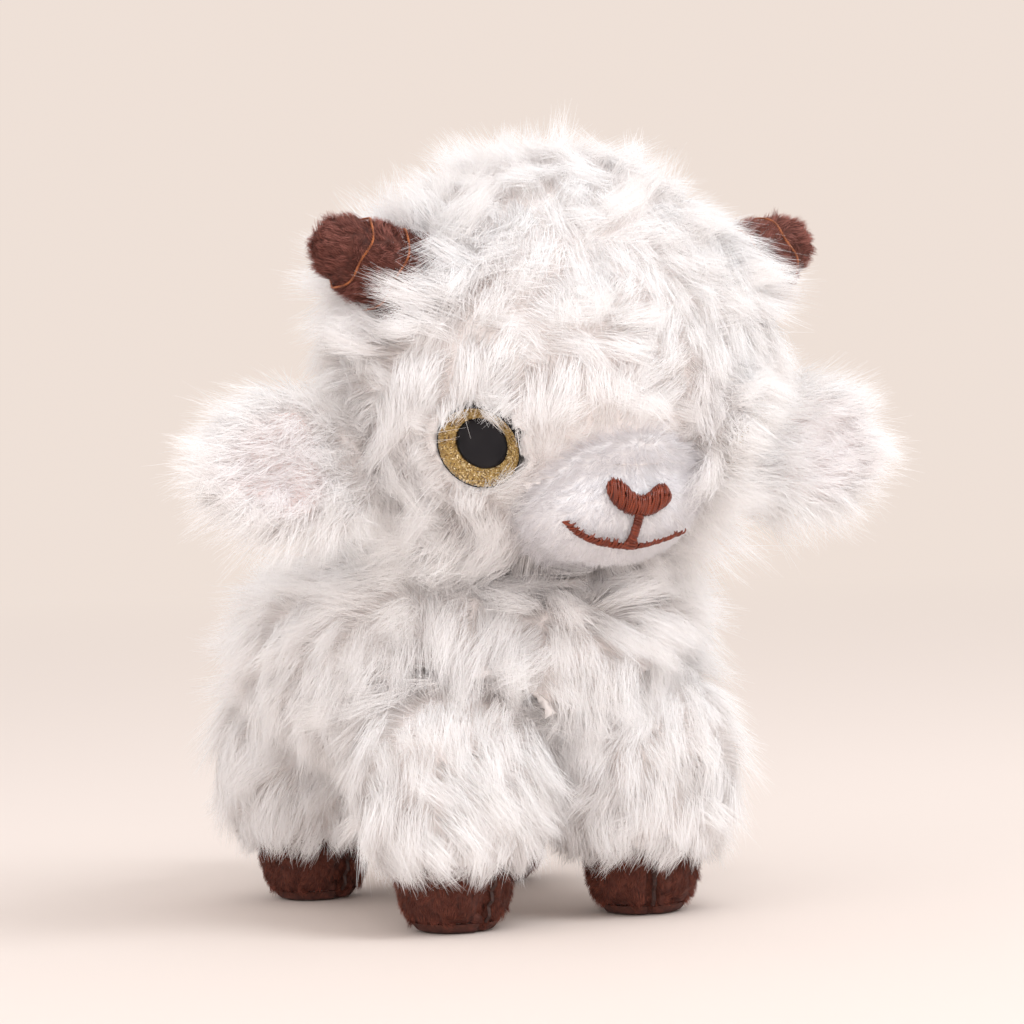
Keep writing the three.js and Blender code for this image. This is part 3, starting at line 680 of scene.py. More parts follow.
def muzzle_share(points):
    """Below one inside the outline of the short-pile patch, as seen from the head's middle."""
    ways = unit(points - HEAD)
    across = ways[:, 0] / math.sin(math.radians(29))
    upward = (ways @ MUZZLE_UP) / math.sin(math.radians(30))
    return np.where(ways @ MUZZLE_WAY > 0, np.hypot(across, upward), 9.0)


def ring_places(side):
    """Middle of each sewn ring of a horn."""
    rings = [packed_points(f"{side}_horn_ring_{i}") for i in (1, 2)]
    return [(ring.min(axis=0) + ring.max(axis=0)) / 2 for ring in rings]


HORN_LINES = {}
for side in SIDES:
    inner, outer = ring_places(side)
    HORN_LINES[side] = (inner - unit(outer - inner) * 9 * MM, unit(outer - inner))


def head_wool():
    skin, points, normals, cover = skin_of("head_skin", "head_fur")
    ways = unit(points - HEAD)
    flow = ways - unit((0.0, 0.35, 1.0)) + DOWN * 0.25
    pile = np.ones(len(points))
    upright, rim = np.zeros(len(points)), np.zeros((len(points), 3))
    # Round the eyes: wool combed away from them, and a short upright rim outside each dish
    for way in EYE_WAYS.values():
        apart = np.linalg.norm(ways - way, axis=1) * HEAD_RADIUS
        near = 1 - smooth_step(apart, 8 * MM, 18 * MM)
        flow += unit(ways - way) * near[:, None] * 0.9
        pile *= 1 - 0.55 * near
        standing = 1 - smooth_step(apart, 7.5 * MM, 11 * MM)
        facing = smooth_step(np.sum(normals * ways, axis=1), 0.7, 0.9)
        cover = cover * smooth_step(apart, 6.9 * MM, 7.3 * MM) * (1 - standing * (1 - facing))
        upright = np.maximum(upright, standing)
        rim -= unit(ways - way) * standing[:, None]
    move_points(skin.data, points + normals * (1.3 * MM * upright * cover)[:, None])
    # Round the muzzle: no wool on its patch, and shorter wool combed away from it
    share = muzzle_share(points)
    cover = cover * smooth_step(share, 0.93, 1.02)
    near = 1 - smooth_step(share, 1.0, 1.5)
    flow += unit(ways - MUZZLE_WAY) * near[:, None] * 1.2
    above = smooth_step(points[:, 2] - MUZZLE[2], -8 * MM, 6 * MM)
    pile *= 1 - near * (0.4 + 0.3 * above)
    pile = np.maximum(pile, 0.34 * upright)
    # A lock between the muzzle and the sheep's left eye stands up in front of that eye
    way = EYE_WAYS["left"]
    apart = np.linalg.norm(ways - way, axis=1) * HEAD_RADIUS
    inner = unit(ways - way) @ unit(way_to(0, 0.1) - way)
    lock = smooth_step(inner, 0.1, 0.6) * (1 - smooth_step(apart, 11 * MM, 14 * MM))
    pile += (1.05 - pile) * lock
    cover = cover * (1 + 1.6 * lock)
    upright = np.maximum(upright, lock)
    # Round the horns: wool that runs up along their roots
    for root, axis in HORN_LINES.values():
        off = points - root
        off -= axis * (off @ axis)[:, None]
        apart = np.linalg.norm(off, axis=1)
        near = (1 - smooth_step(apart, 9 * MM, 13 * MM)) * (ways @ unit(root - HEAD) > 0.5)
        flow += (axis * 2.4 - unit(off) * 0.6) * near[:, None]
        pile *= 1 + 0.3 * near
        cover = cover * (1 + 0.8 * near)
    chin = smooth_step(-ways[:, 2], 0.45, 0.85) * smooth_step(-ways[:, 1], -0.6, 0.1)
    pile *= 1 + chin
    loose = smooth_step(ways[:, 2:], -0.1, 0.6)
    flow = unit(flow) + wander(points, 9 * MM, 1) * (1.4 + 0.8 * loose)
    lay = combed(normals, flow, 0.9) * (1 - 0.85 * upright[:, None]) + rim * 0.1
    panels = in_panels("head_wool", points, HEAD, cover, {
        "crown": (0, -0.1, 1), "left": (1, -0.3, -0.1), "right": (-1, -0.3, -0.1),
        "face": (0, -1, -0.1), "back": (0, 1, 0), "chin": (0, -0.2, -1)})
    clothe(skin, "head_fur", "head", WOOL, lay, pile, panels, length=10 * MM, rise=0.8,
           scatter=0.65, tuft_spacing=WOOL_TUFTS, gather=0.5, stray=0.18)


head_wool()

# Middles of the small folds between the body and the front legs that need wool of their own
BARE_FOLDS = np.array([(-4.5, -35.4, 50.2), (4.5, -35.4, 50.2), (-22, -24.9, 54.4),
                       (22, -24.9, 54.4)]) * MM


def body_wool():
    skin, points, normals, cover = skin_of("body_skin", "body_fur", own_reach=6 * MM,
                                           other_reach=0.5 * MM)
    side = np.sign(points[:, :1]) * np.array([[1.0, 0, 0]])
    upward = smooth_step(normals[:, 2:], 0.2, 0.9)
    flow = DOWN + side * upward * 0.6 + np.array([0, 0.5, 0]) * upward
    neck = 1 - smooth_step(np.linalg.norm(points - HEAD, axis=1), 38 * MM, 52 * MM)
    outward = points - HEAD
    outward[:, 2] *= 0.3
    flow = unit(flow) * (1 - neck[:, None]) + unit(outward) * neck[:, None]
    flow = flow + wander(points, 10 * MM, 2) * 1.3
    for place in BARE_FOLDS:
        bare = 1 - smooth_step(np.linalg.norm(points - place, axis=1), 2.5 * MM, 5 * MM)
        cover = np.maximum(cover, 2.2 * bare * smooth_step(-normals[:, 1], 0.0, 0.3))
    panels = in_panels("body_wool", points, BODY, cover, {
        "chest": (0, -1, 0), "left": (1, 0, 0), "right": (-1, 0, 0), "rump": (0, 1, 0),
        "back": (0, 0, 1), "belly": (0, 0, -1)})
    clothe(skin, "body_fur", "torso", WOOL, combed(normals, flow, 0.9), 1 + 0.3 * neck, panels,
           length=10.5 * MM, rise=0.65, scatter=0.6, curl=0.8 * MM, tuft_spacing=WOOL_TUFTS,
           gather=0.36, stray=0.2)


body_wool()


def neck_wool():
    skin, points, normals, cover = skin_of(
        "neck_skin", "neck_seam", voxel=0.6 * MM, sink=0.1 * MM, soften=2, own_reach=60 * MM)
    outward = unit(points - points.mean(axis=0))
    cover = cover * smooth_step(np.sum(outward * normals, axis=1), 0.2, 0.7)
    flow = outward * 0.4 + DOWN * 0.7 + wander(points, 8 * MM, 10) * 0.5
    clothe(skin, "neck_seam", "neck", WOOL, combed(normals, flow, 0.8), 1,
           {"neck_wool": cover}, length=8 * MM, rise=0.7, scatter=0.4)


neck_wool()


def leg_wool(leg):
    skin, points, normals, cover = skin_of(f"{leg}_leg_skin", f"{leg}_leg_fur", sink=2.6 * MM,
                                           other_reach=0.5 * MM)
    flow = DOWN + wander(points, 9 * MM, 3)
    low = points[:, 2].min()
    pile = 0.5 + 0.5 * smooth_step(points[:, 2], low, low + 11 * MM)
    clothe(skin, f"{leg}_leg_fur", f"{leg}_leg", WOOL, combed(normals, flow, 1.1), pile,
           {f"{leg}_leg_wool": cover}, length=10.5 * MM, rise=0.55, scatter=0.5,
           curl=0.8 * MM, tuft_spacing=WOOL_TUFTS, gather=0.42, stray=0.2)


for leg in LEGS:
    leg_wool(leg)


def ear_wool(side):
    skin, points, normals, cover = skin_of(f"{side}_ear_skin", f"{side}_ear_back",
                                           voxel=1.0 * MM, sink=1.6 * MM, soften=4)
    out = np.array([SIDES[side], 0.0, -0.15])
    height = points[:, 2] - points[:, 2].mean()
    low, high = smooth_step(-height, 1 * MM, 9 * MM), smooth_step(height, 1 * MM, 9 * MM)
    raised = 0.5 if side == "left" else 0.3
    flow = out + DOWN * (0.8 * low - raised * high)[:, None] + wander(points, 8 * MM, 4) * 0.35
    finer = dict(scatter=0.4, tuft_spacing=1.6 * MM, gather=0.1, stray=0.3)
    clothe(skin, f"{side}_ear_back", f"{side}_ear", WOOL, combed(normals, flow, 1.0),
           1 + 0.25 * low + 0.4 * raised * high, {f"{side}_ear_wool": cover}, length=8 * MM,
           rise=0.7, hairs_per_area=1.3 * DENSITY, curl=0.9 * MM, **finer)
    lining, points, normals, cover = skin_of(f"{side}_ear_pad", f"{side}_ear_lining",
                                             voxel=0.6 * MM, sink=0.2 * MM, soften=4)
    flow = out + wander(points, 6 * MM, 5) * 0.35
    clothe(lining, f"{side}_ear_lining", f"{side}_ear", PINK_PILE, combed(normals, flow, 0.9),
           1, {f"{side}_ear_pile": cover}, length=6.5 * MM, rise=0.5,
           hairs_per_area=1.2 * DENSITY, curl=0.6 * MM, **finer)


for side in SIDES:
    ear_wool(side)


def tail_wool():
    skin, points, normals, cover = skin_of("tail_skin", "tail_fur", voxel=1.0 * MM,
                                           sink=1.8 * MM, soften=4)
    flow = np.array([0.0, 0.82, -0.57]) + wander(points, 8 * MM, 6) * 0.8
    clothe(skin, "tail_fur", "tail", WOOL, combed(normals, flow, 1.0), 1,
           {"tail_wool": cover}, length=7.5 * MM, rise=0.6, scatter=0.4)


tail_wool()


# Muzzle with its embroidered nose and mouth

SHORT = dict(rise=0.6, scatter=0.3, tuft_spacing=1.0 * MM, rings=2, curl=0.1 * MM)
EMBROIDERY_TILT = math.radians(7)
NOSE_HALF = np.array([6.0, 2.8]) * MM
NOSE_SHIFT = np.array([-0.4 * MM, 0])
# Rows of share across, upper edge and lower edge of half the nose
NOSE_TABLE = np.array([
    (0.0, 0.1, -1.0), (0.15, 0.17, -0.985), (0.3, 0.4, -0.94), (0.42, 0.66, -0.88),
    (0.54, 0.86, -0.79), (0.66, 0.96, -0.66), (0.78, 0.95, -0.5), (0.88, 0.82, -0.3),
    (0.95, 0.62, -0.1), (1.0, 0.34, 0.12)])
MOUTH_LEFT, MOUTH_RIGHT = 11.3 * MM, 10.0 * MM
MOUTH_DROP, MOUTH_RISE = 7.7 * MM, 3.1 * MM
STEM_TOP = -2.6 * MM


def on_muzzle(across, up, lift):
    """Places on the muzzle, from metres across and up it, tilted like the embroidery."""
    slope, level = math.sin(EMBROIDERY_TILT), math.cos(EMBROIDERY_TILT)
    x = across * level + up * slope
    z = up * level - across * slope
    wide, deep, high = MUZZLE_HALF
    y = -deep * np.sqrt(np.maximum(1 - (x / wide) ** 2 - (z / high) ** 2, 0.02))
    place = np.stack([x, y, z], axis=-1)
    return MUZZLE + place + unit(place / MUZZLE_HALF ** 2) * np.asarray(lift)[..., None]


def stitches(rails, count, crown, chance, ragged, slant, points=7):
    """Satin stitches between two rails, raised over the patch in the middle."""
    share = np.linspace(0, 1, points)
    paths = []
    for i in range(count):
        at = (i + 0.5 + chance.uniform(-0.35, 0.35)) / count
        lean = slant * chance.uniform(-0.6, 2.2)
        low, _ = rails(at - lean)
        _, high = rails(at + lean)
        way = unit(high - low)
        low = low - way * chance.uniform(0, ragged[0])
        high = high + way * chance.uniform(0, 1) ** 2 * ragged[1]
        flat = low + (high - low) * share[:, None]
        arch = np.maximum(1 - (2 * share - 1) ** 2, 0) ** 0.6
        full = min(1, np.linalg.norm(high - low) / (crown * 4))
        lift = 0.1 * MM + (crown * full + chance.uniform(-0.13, 0.13) * MM) * arch
        paths.append(on_muzzle(flat[:, 0], flat[:, 1], lift))
    return paths


def patch_under(rails, crown, steps=40, points=9):
    """The padding that satin stitches cover, as rows of points."""
    share = np.linspace(0, 1, points)
    arch = np.sqrt(np.maximum(1 - (2 * share - 1) ** 2, 0))
    rows = []
    for at in np.linspace(0.01, 0.99, steps):
        low, high = rails(at)
        flat = low + (high - low) * share[:, None]
        full = min(1, np.linalg.norm(high - low) / (crown * 4))
        rows.append(on_muzzle(flat[:, 0], flat[:, 1], (crown * full - 0.2 * MM) * arch))
    return rows


def embroidered(name, node, layers, seed):
    """Padding and satin stitches for each pair of rails: the stitches as one piece, the padding as
    another.
    """
    chance = np.random.default_rng(seed)
    paths, vertices, faces = [], [], []
    for rails, count, crown, ragged, slant in layers:
        paths += stitches(rails, count, crown, chance, ragged, slant)
        rows = patch_under(rails, crown)
        width = len(rows[0])
        for i in range(len(rows) - 1):
            for k in range(width - 1):
                here = len(vertices) + i * width + k
                faces.append((here, here + width, here + width + 1, here + 1))
        vertices += [point for row in rows for point in row]
    piece = threads(name, paths, 0.145 * MM, seed, sides=5)
    pad = mesh_object(f"{name}_pad", vertices, faces)
    strip_map(pad.data, [(0.1, 0.5)] * len(vertices))
    finish(piece, "head", "brown_thread", FACE_THREAD, node)
    finish(pad, "head", "brown_thread", FACE_THREAD)


def nose_rails(at):
    across = 2 * min(max(at, 0.0), 1.0) - 1
    top, bottom = (np.interp(abs(across), NOSE_TABLE[:, 0], NOSE_TABLE[:, i]) for i in (1, 2))
    spread = 0.97 * across
    return (np.array([spread * 0.94, bottom]) * NOSE_HALF + NOSE_SHIFT,
            np.array([spread, top * 0.94]) * NOSE_HALF + NOSE_SHIFT)


def mouth_rails(at):
    across = 2 * at - 1
    reach = MOUTH_LEFT if across < 0 else MOUTH_RIGHT
    power = 3.2 if across < 0 else 1.4
    height = MOUTH_RISE * abs(across) ** power - MOUTH_DROP
    half = (0.38 if across < 0 else 0.36 - 0.18 * min(across * 3, 1)) * MM
    half *= 1 - 0.5 * abs(across) ** 8
    lean = power * MOUTH_RISE / reach * abs(across) ** (power - 1)
    side = np.array([-lean * np.sign(across), 1.0])
    side /= np.linalg.norm(side)
    middle = np.array([reach * across, height])
    return middle - side * half, middle + side * half


def stem_rails(at):
    height = STEM_TOP + (-STEM_TOP - MOUTH_DROP) * at
    half = (0.68 + 0.55 * max(at - 0.72, 0) / 0.28) * MM
    return np.array([-half - 0.1 * MM, height]), np.array([half, height - 0.15 * MM])


def muzzle_skin():
    """The muzzle's swelling with the patch of the head round it, as one closed form."""
    edit = bmesh.new()
    bmesh.ops.create_icosphere(edit, subdivisions=5, radius=1.0)
    mesh = bpy.data.meshes.new("muzzle_skin")
    edit.to_mesh(mesh)
    edit.free()
    smooth_shaded(mesh)
    ways = unit(points_of(mesh))
    start = HEAD + MUZZLE_WAY * 20 * MM

    def reach(centre, half):
        """How far each way runs from the start to the far side of a rounded form."""
        off, run = (start - centre) / half, ways / half
        a, b, c = np.sum(run * run, axis=1), run @ off, off @ off - 1
        return (np.sqrt(np.maximum(b * b - a * c, 0)) - b) / a

    swelling = reach(MUZZLE, MUZZLE_HALF - 1.0 * MM)
    patch = reach(HEAD, HEAD_RADIUS - 1.4 * MM)
    share = muzzle_share(start + ways * patch[:, None])
    patch *= 1 - smooth_step(share, 0.92, 1.25)
    soft = 0.8 * MM
    far = soft * np.logaddexp(swelling / soft, patch / soft)
    move_points(mesh, start + ways * far[:, None])
    return object_from("muzzle_skin", mesh)


def muzzle_and_face():
    skin = muzzle_skin()
    points, normals = points_of(skin.data), normals_of(skin.data)
    out = np.linalg.norm(points - HEAD, axis=1) - HEAD_RADIUS
    cover = smooth_step(out, -4.5 * MM, -2.5 * MM)
    flow = unit(points - MUZZLE) - unit((0.0, -0.8, 0.4)) + wander(points, 7 * MM, 7) * 0.3
    clothe(skin, "muzzle", "head", SHORT_PILE, combed(normals, flow, 0.8),
           1 + 1.2 * smooth_step(muzzle_share(points), 0.7, 1.0), {"muzzle_pile": cover},
           fill=0.9, length=1.5 * MM, hairs_per_area=2.4 * DENSITY, gather=0.25, stray=0.2,
           width=0.8 * WIDTH, **SHORT)
    embroidered("nose_stitches", "nose_embroidery",
                [(nose_rails, 70, 0.95 * MM, (0.2 * MM, 0.35 * MM), 0.018)], 41)
    embroidered("mouth_stitches", "mouth_embroidery",
                [(mouth_rails, 120, 0.45 * MM, (0.1 * MM, 0.8 * MM), 0.008),
                 (stem_rails, 32, 0.6 * MM, (0.15 * MM, 0.15 * MM), 0.01)], 42)


muzzle_and_face()


# Safety eyes: heights are millimetres from the head's middle along the eye's own line

def eye_materials():
    black, tree, shader = plain_material("Glossy black plastic", (0.012, 0.012, 0.014), 0.08,
                                         Specular_IOR_Level=0.17)
    tone(tree, shader, texture(tree, "Noise", Scale=120.0)["Fac"],
         (0.3, (0.006, 0.006, 0.008)), (0.7, (0.016, 0.015, 0.018)))
    gold, tree, shader = plain_material("Gold glitter", (0.6, 0.36, 0.06), 0.5)
    cells = texture(tree, "Voronoi", Scale=3200.0)["Color"]
    tone(tree, shader, add_node(tree, "ShaderNodeSeparateXYZ", {0: cells}).outputs["X"],
         (0.0, (0.1, 0.05, 0.02)), (0.3, (0.32, 0.19, 0.055)), (0.7, (0.46, 0.31, 0.1)),
         (1.0, (0.65, 0.52, 0.28)))
    flake, tree, shader = plain_material("Gold flake", (0.8, 0.52, 0.1), 0.3, Metallic=0.3)
    # Each flake has a random tint; the palest end of the ramp is a painted glint, the glitter's
    # sparkle.
    tone(tree, shader, strip_place(tree)["X"], (0.0, (0.1, 0.05, 0.02)),
         (0.35, (0.36, 0.22, 0.055)), (0.8, (0.55, 0.38, 0.13)), (1.0, (1.0, 0.88, 0.6)))
    clear = bpy.data.materials.new("Clear dome")
    clear.use_nodes = True
    tree = clear.node_tree
    tree.nodes.remove(tree.nodes["Principled BSDF"])
    sums = Sums(tree)
    through = add_node(tree, "ShaderNodeBsdfTransparent", {"Color": (1, 1, 1, 1)})
    gloss = add_node(tree, "ShaderNodeBsdfGlossy", {"Color": (1, 1, 1, 1), "Roughness": 0.03})
    edge = add_node(tree, "ShaderNodeFresnel", {"IOR": 1.42}).outputs[0]
    outside = sums.less(1.0, tree.nodes.new("ShaderNodeNewGeometry").outputs["Backfacing"])
    beyond = sums.number("MAXIMUM", 0.0, sums.less(edge, 0.045))
    mix_shaders(tree, sums.times(beyond, outside), through.outputs[0], gloss.outputs[0])
    return black, gold, flake, clear


EYE_BLACK, EYE_GOLD, EYE_FLAKE, EYE_CLEAR = eye_materials()
STEM_END, EYE_SEAT = 21.8, 31.2
EYE_FLOOR = EYE_SEAT + 0.95
EYE_RADIUS, EYE_RIM, PUPIL_RADIUS = 6.95, 0.16, 4.35
EYE_INSIDE = EYE_RADIUS - EYE_RIM
FOIL, FOIL_RISE = EYE_SEAT + 1.35, 1.5
LENS_EDGE, LENS_CROWN, LENS_ANGLE = FOIL + FOIL_RISE + 0.25, 2.3, 64
FLAKES = 2600

def glitter_flakes(name, way, seed):
    """Small tilted flakes all over the sloping ring."""
    chance = np.random.default_rng(seed)
    across = unit(np.cross(way, (0.0, 0.0, 1.0)))
    upward = np.cross(across, way)
    inner, outer = PUPIL_RADIUS + 0.05, EYE_INSIDE - 0.05
    vertices, faces, strip = [], [], []
    for _ in range(FLAKES):
        radius = math.sqrt(chance.uniform(inner ** 2, outer ** 2))
        angle = chance.uniform(0, 2 * math.pi)
        out = across * math.cos(angle) + upward * math.sin(angle)
        rise = FOIL_RISE * (radius - inner) / (outer - inner)
        middle = HEAD + MM * (way * (FOIL + rise + chance.uniform(0.02, 0.1)) + out * radius)
        facing = unit(way - out * FOIL_RISE / (outer - inner) + chance.normal(0, 0.33, 3))
        side = unit(np.cross(facing, chance.normal(0, 1, 3)))
        size = chance.uniform(0.09, 0.17) * MM
        corners = [middle + size * (side * math.cos(a) + np.cross(facing, side) * math.sin(a))
                   for a in np.arange(6) * math.pi / 3]
        faces.append(range(len(vertices), len(vertices) + 6))
        vertices += corners
        strip += [(chance.uniform(0.02, 0.98), 0.5)] * 6
    piece = mesh_object(name, vertices, faces, smooth=False)
    strip_map(piece.data, strip)
    return piece


def eye(side):
    way = EYE_WAYS[side]
    stem = [(0, STEM_END), (1.45, STEM_END)] + [
        row for i in range(3) for row in ((1.35, 24.1 + 2.35 * i), (1.6, 24.35 + 2.35 * i))]
    dish = turned(f"{side}_eye_shell", way, [
        *stem, (1.6, EYE_SEAT), (6.3, EYE_SEAT), (6.75, EYE_SEAT + 0.12),
        (EYE_RADIUS, EYE_SEAT + 0.45), (EYE_RADIUS, LENS_EDGE - 0.3), (6.92, LENS_EDGE - 0.08),
        (6.86, LENS_EDGE), (EYE_INSIDE, LENS_EDGE - 0.04), (EYE_INSIDE, EYE_SEAT + 0.9),
        (0, EYE_SEAT + 0.9)])
    inner, outer = PUPIL_RADIUS + 0.05, EYE_INSIDE - 0.02
    ring = turned(f"{side}_eye_glitter", way, [
        (inner, EYE_FLOOR), (outer, EYE_FLOOR), (outer, FOIL + FOIL_RISE), (inner, FOIL),
        (inner, EYE_FLOOR)])
    flakes = glitter_flakes(f"{side}_eye_flakes", way, 50 + SIDES[side])
    pupil = turned(f"{side}_eye_black", way, [
        (0, EYE_FLOOR), (PUPIL_RADIUS, EYE_FLOOR), (PUPIL_RADIUS, FOIL - 0.05),
        *((PUPIL_RADIUS * 0.98 * math.cos(math.radians(a)),
           FOIL + 0.75 * math.sin(math.radians(a))) for a in range(0, 90, 9)), (0, FOIL + 0.75)])
    steep = math.radians(LENS_ANGLE)
    dome = turned(f"{side}_eye_dome", way, [
        *(((EYE_INSIDE - 0.05) * math.sin(a) / math.sin(steep),
           LENS_EDGE + LENS_CROWN * (math.cos(a) - math.cos(steep)) / (1 - math.cos(steep)))
          for a in map(math.radians, range(LENS_ANGLE, 0, -4))), (0, LENS_EDGE + LENS_CROWN)])
    for piece, node, slot, look in (
            (dish, "dish", "black_plastic", EYE_BLACK),
            (ring, "glitter_ring", "gold_glitter", EYE_GOLD),
            (pupil, "pupil", "black_plastic", EYE_BLACK),
            (dome, "lens", "clear_plastic", EYE_CLEAR)):
        finish(piece, "head", slot, look, f"{side}_eye_{node}")
    finish(flakes, "head", "gold_glitter", EYE_FLAKE)


for side in SIDES:
    eye(side)


# Horns and hooves

SEAM_PLY = 0.11 * MM
SEAM_TURNS = 40


def horn(side):
    skin, points, normals, cover = skin_of(f"{side}_horn_skin", f"{side}_horn",
                                           voxel=0.7 * MM, sink=0.9 * MM, soften=10)
    _, axis = HORN_LINES[side]
    places = ring_places(side)
    dent = np.max([np.exp(-(((points - place) @ axis) / (1.0 * MM)) ** 2) for place in places],
                  axis=0)
    move_points(skin.data, points - normals * (0.75 * MM * dent * cover)[:, None])
    flow = axis + wander(points, 3.2 * MM, 8) * 2.0
    clothe(skin, f"{side}_horn", "head", HORN_PILE, combed(normals, flow, 1.0),
           1 - 0.45 * dent, {f"{side}_horn_pile": cover * (1 - 0.35 * dent)}, fill=0.9,
           length=1.6 * MM, hairs_per_area=2.2 * DENSITY, gather=0.5, stray=0.25,
           width=0.75 * WIDTH, **SHORT)
    across = unit(np.cross(axis, (0.0, 0.0, 1.0)))
    upward = np.cross(axis, across)
    share = np.linspace(0, 1, 241)[:, None]
    angle = 2 * math.pi * share
    out = across * np.cos(angle) + upward * np.sin(angle)
    for i, place in enumerate(places):
        ring = packed_points(f"{side}_horn_ring_{i + 1}") - place
        radius = np.linalg.norm(ring - axis * (ring @ axis)[:, None], axis=1).mean() - 1.0 * MM
        paths = []
        for ply in (0, math.pi):
            turn = 2 * math.pi * SEAM_TURNS * share + ply
            paths.append(place + out * (radius + 0.12 * MM + SEAM_PLY * np.cos(turn))
                         + axis * (SEAM_PLY * np.sin(turn) + 0.3 * MM * np.sin(5 * angle)))
        stitched = threads(f"{side}_horn_stitches_{i + 1}", paths, SEAM_PLY, 70 + i, sides=5)
        finish(stitched, "head", "brown_thread", SEAM_THREAD, f"{side}_horn_ring_{i + 1}")


def hoof(leg):
    skin, points, normals, cover = skin_of(f"{leg}_hoof_skin", f"{leg}_hoof",
                                           voxel=0.6 * MM, sink=0.4 * MM, soften=5)
    off = points - (points.min(axis=0) + points.max(axis=0)) / 2
    cleft = np.exp(-(off[:, 0] / (0.9 * MM)) ** 2) * smooth_step(-off[:, 1], 2 * MM, 6 * MM)
    move_points(skin.data, points - normals * (2.2 * MM * cleft * cover)[:, None])
    flow = DOWN * 0.8 + wander(points, 4 * MM, 9) * 1.2
    low = 1 - smooth_step(points[:, 2], 2 * MM, 4 * MM)
    finer = dict(fill=0.9, length=1.2 * MM, hairs_per_area=2.0 * DENSITY, gather=0.4,
                 stray=0.2, width=0.75 * WIDTH, **SHORT)
    clothe(skin, f"{leg}_hoof", f"{leg}_leg", BROWN_PILE, combed(normals, flow, 1.0),
           1 - 0.5 * cleft + 0.3 * low, {f"{leg}_hoof_pile": cover}, **finer)
    # The sole reaches out to the hoof's edge, with pile round its rim only
    sole, points, normals, _ = skin_of(f"{leg}_sole_skin", f"{leg}_hoof_sole",
                                       voxel=0.5 * MM, sink=0.2 * MM, soften=2)
    middle = points.mean(axis=0)
    edge = smooth_step(points[:, 2], 0.3 * MM, 1.0 * MM)[:, None]
    points += edge * (unit((points - middle) * (1, 1, 0)) * 0.35 * MM - DOWN * 0.8 * MM)
    points[:, 2] = np.maximum(points[:, 2], 0.02 * MM)
    move_points(sole.data, points)
    rim = smooth_step(-np.abs(normals[:, 2]), -0.8, -0.3)
    clothe(sole, f"{leg}_hoof_sole", f"{leg}_leg", BROWN_PILE, combed(normals, -DOWN, 0.8),
           1.1, {f"{leg}_sole_pile": rim}, **finer)


for side in SIDES:
    horn(side)
for leg in LEGS:
    hoof(leg)


# Stage, light and camera

FLOOR_COLOR, FLOOR_REACH = (0.71, 0.615, 0.555), 40
BACKDROP = {"Color": (0.86, 0.75, 0.68, 1), "Strength": 1.0}
SKY_COLOR, SKY_STRENGTH = (0.98, 0.975, 0.99, 1), 1.08
LIT_PLACE = Vector((0, 0, 0.07))
CAMERA_TURN, CAMERA_ROLL, CAMERA_AWAY = math.radians(28), math.radians(-1.8), 600 * MM
CAMERA_AIM = Vector((0, HEAD[1], 79.6 * MM))
# Pixels of the photo: its width, the lens and how far the aim lies from its middle
WIDE, FOCAL, AIM_RIGHT, AIM_UP = 1024, 3630.0, 40, 68
SENSOR = 36


def seen_rays(tree):
    """One for rays that show the backdrop itself, zero for those that light the sheep."""
    path = tree.nodes.new("ShaderNodeLightPath").outputs
    sums = Sums(tree)
    return sums.number("MAXIMUM", path["Is Camera Ray"], sums.number(
        "MAXIMUM", path["Is Glossy Ray"], path["Is Transmission Ray"]))


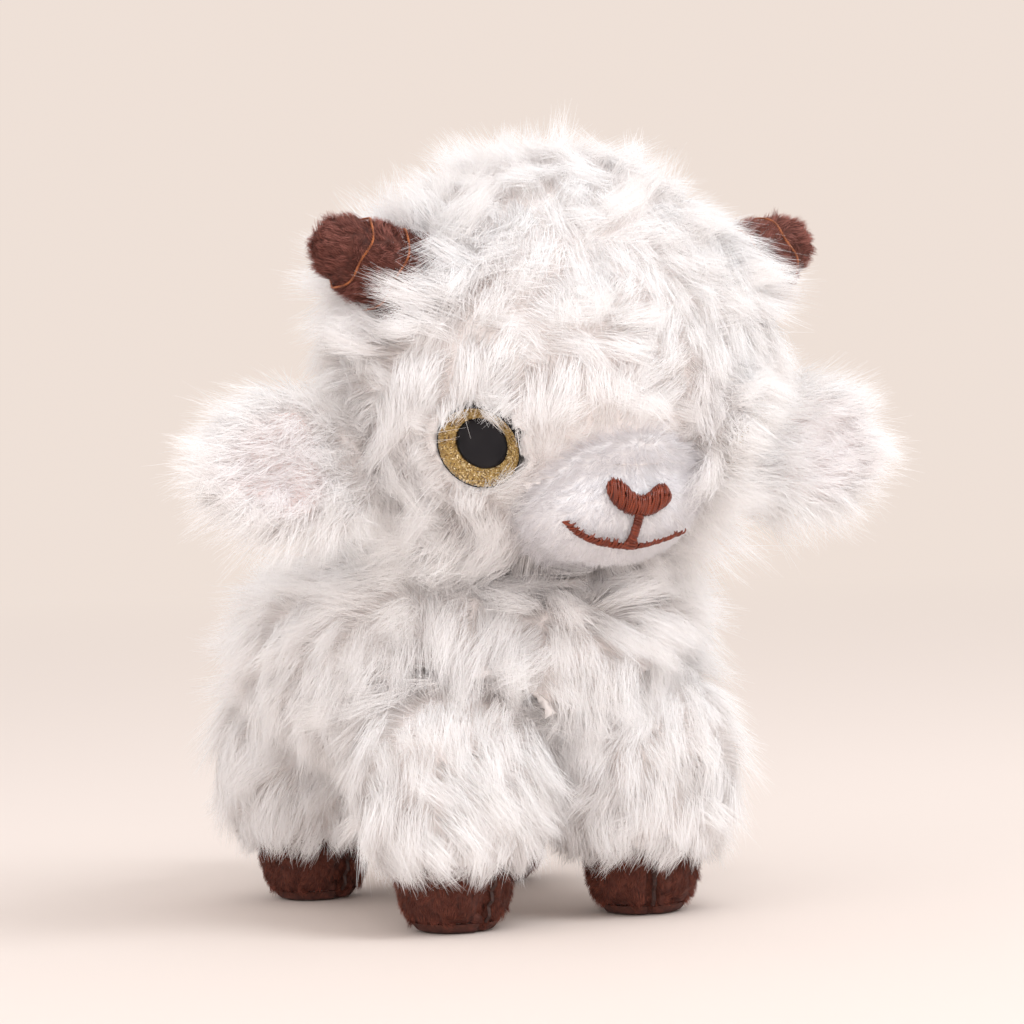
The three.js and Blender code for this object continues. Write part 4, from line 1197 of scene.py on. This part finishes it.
def floor_and_sky():
    """A floor that fades into the backdrop, and a sky that is the backdrop where it is seen."""
    floor = mesh_object("floor", [
        (x * FLOOR_REACH, y * FLOOR_REACH, 0) for x, y in ((-1, -1), (1, -1), (1, 1), (-1, 1))],
        [(0, 1, 2, 3)])
    material, tree, shader = plain_material("Floor", FLOOR_COLOR, 0.9)
    where = add_node(tree, "ShaderNodeTexCoord").outputs["Object"]
    sums = Sums(tree)
    far = add_node(tree, "ShaderNodeMapRange", {
        "Value": sums.vector("LENGTH", where), "From Min": 0.25, "From Max": 1.4})
    glow = add_node(tree, "ShaderNodeEmission", BACKDROP)
    mix_shaders(tree, sums.times(far.outputs[0], seen_rays(tree)), shader.outputs[0],
                glow.outputs[0])
    floor.data.materials.append(material)
    world = bpy.data.worlds.new("Studio")
    bpy.context.scene.world = world
    world.use_nodes = True
    tree = world.node_tree
    sky = tree.nodes["Background"]
    sky.inputs["Color"].default_value = SKY_COLOR
    sky.inputs["Strength"].default_value = SKY_STRENGTH
    white = add_node(tree, "ShaderNodeBackground", BACKDROP)
    mix_shaders(tree, seen_rays(tree), sky.outputs[0], white.outputs[0], "World Output")


def lamp(name, spot, size, power, color):
    light = bpy.data.lights.new(name, "AREA")
    light.shape = "SQUARE"
    light.size = size
    light.energy = power
    light.color = color
    piece = object_from(name, light)
    piece.location = spot
    piece.rotation_euler = (LIT_PLACE - Vector(spot)).to_track_quat("-Z", "Y").to_euler()


def place_camera():
    ahead = Vector((math.sin(CAMERA_TURN), math.cos(CAMERA_TURN), 0))
    right = Vector((math.cos(CAMERA_TURN), -math.sin(CAMERA_TURN), 0))
    look = (ahead - right * (AIM_RIGHT / FOCAL)
            - Vector((0, 0, 1)) * (AIM_UP / FOCAL)).normalized()
    lens = bpy.data.cameras.new("camera")
    lens.sensor_width = SENSOR
    lens.lens = SENSOR * FOCAL / WIDE
    lens.clip_start = 0.01
    camera = object_from("camera", lens)
    camera.location = CAMERA_AIM - ahead * CAMERA_AWAY
    rotation = look.to_track_quat("-Z", "Y").to_matrix().to_4x4()
    camera.rotation_euler = (rotation @ Matrix.Rotation(CAMERA_ROLL, 4, "Z")).to_euler()
    bpy.context.scene.camera = camera


floor_and_sky()
lamp("key", (0.25, -0.75, 0.95), 0.5, 7.3, (0.89, 0.945, 1.0))
lamp("fill", (-0.9, -0.4, 0.5), 0.8, 1.5, (0.98, 0.97, 1.0))
lamp("low fill", (-0.45, -0.95, 0.3), 0.4, 1.8, (1.0, 0.91, 0.87))
place_camera()
bpy.context.scene.view_settings.view_transform = "Standard"
bounces = bpy.context.scene.cycles
bounces.diffuse_bounces = 16
bounces.transmission_bounces = 20
bounces.max_bounces = 24
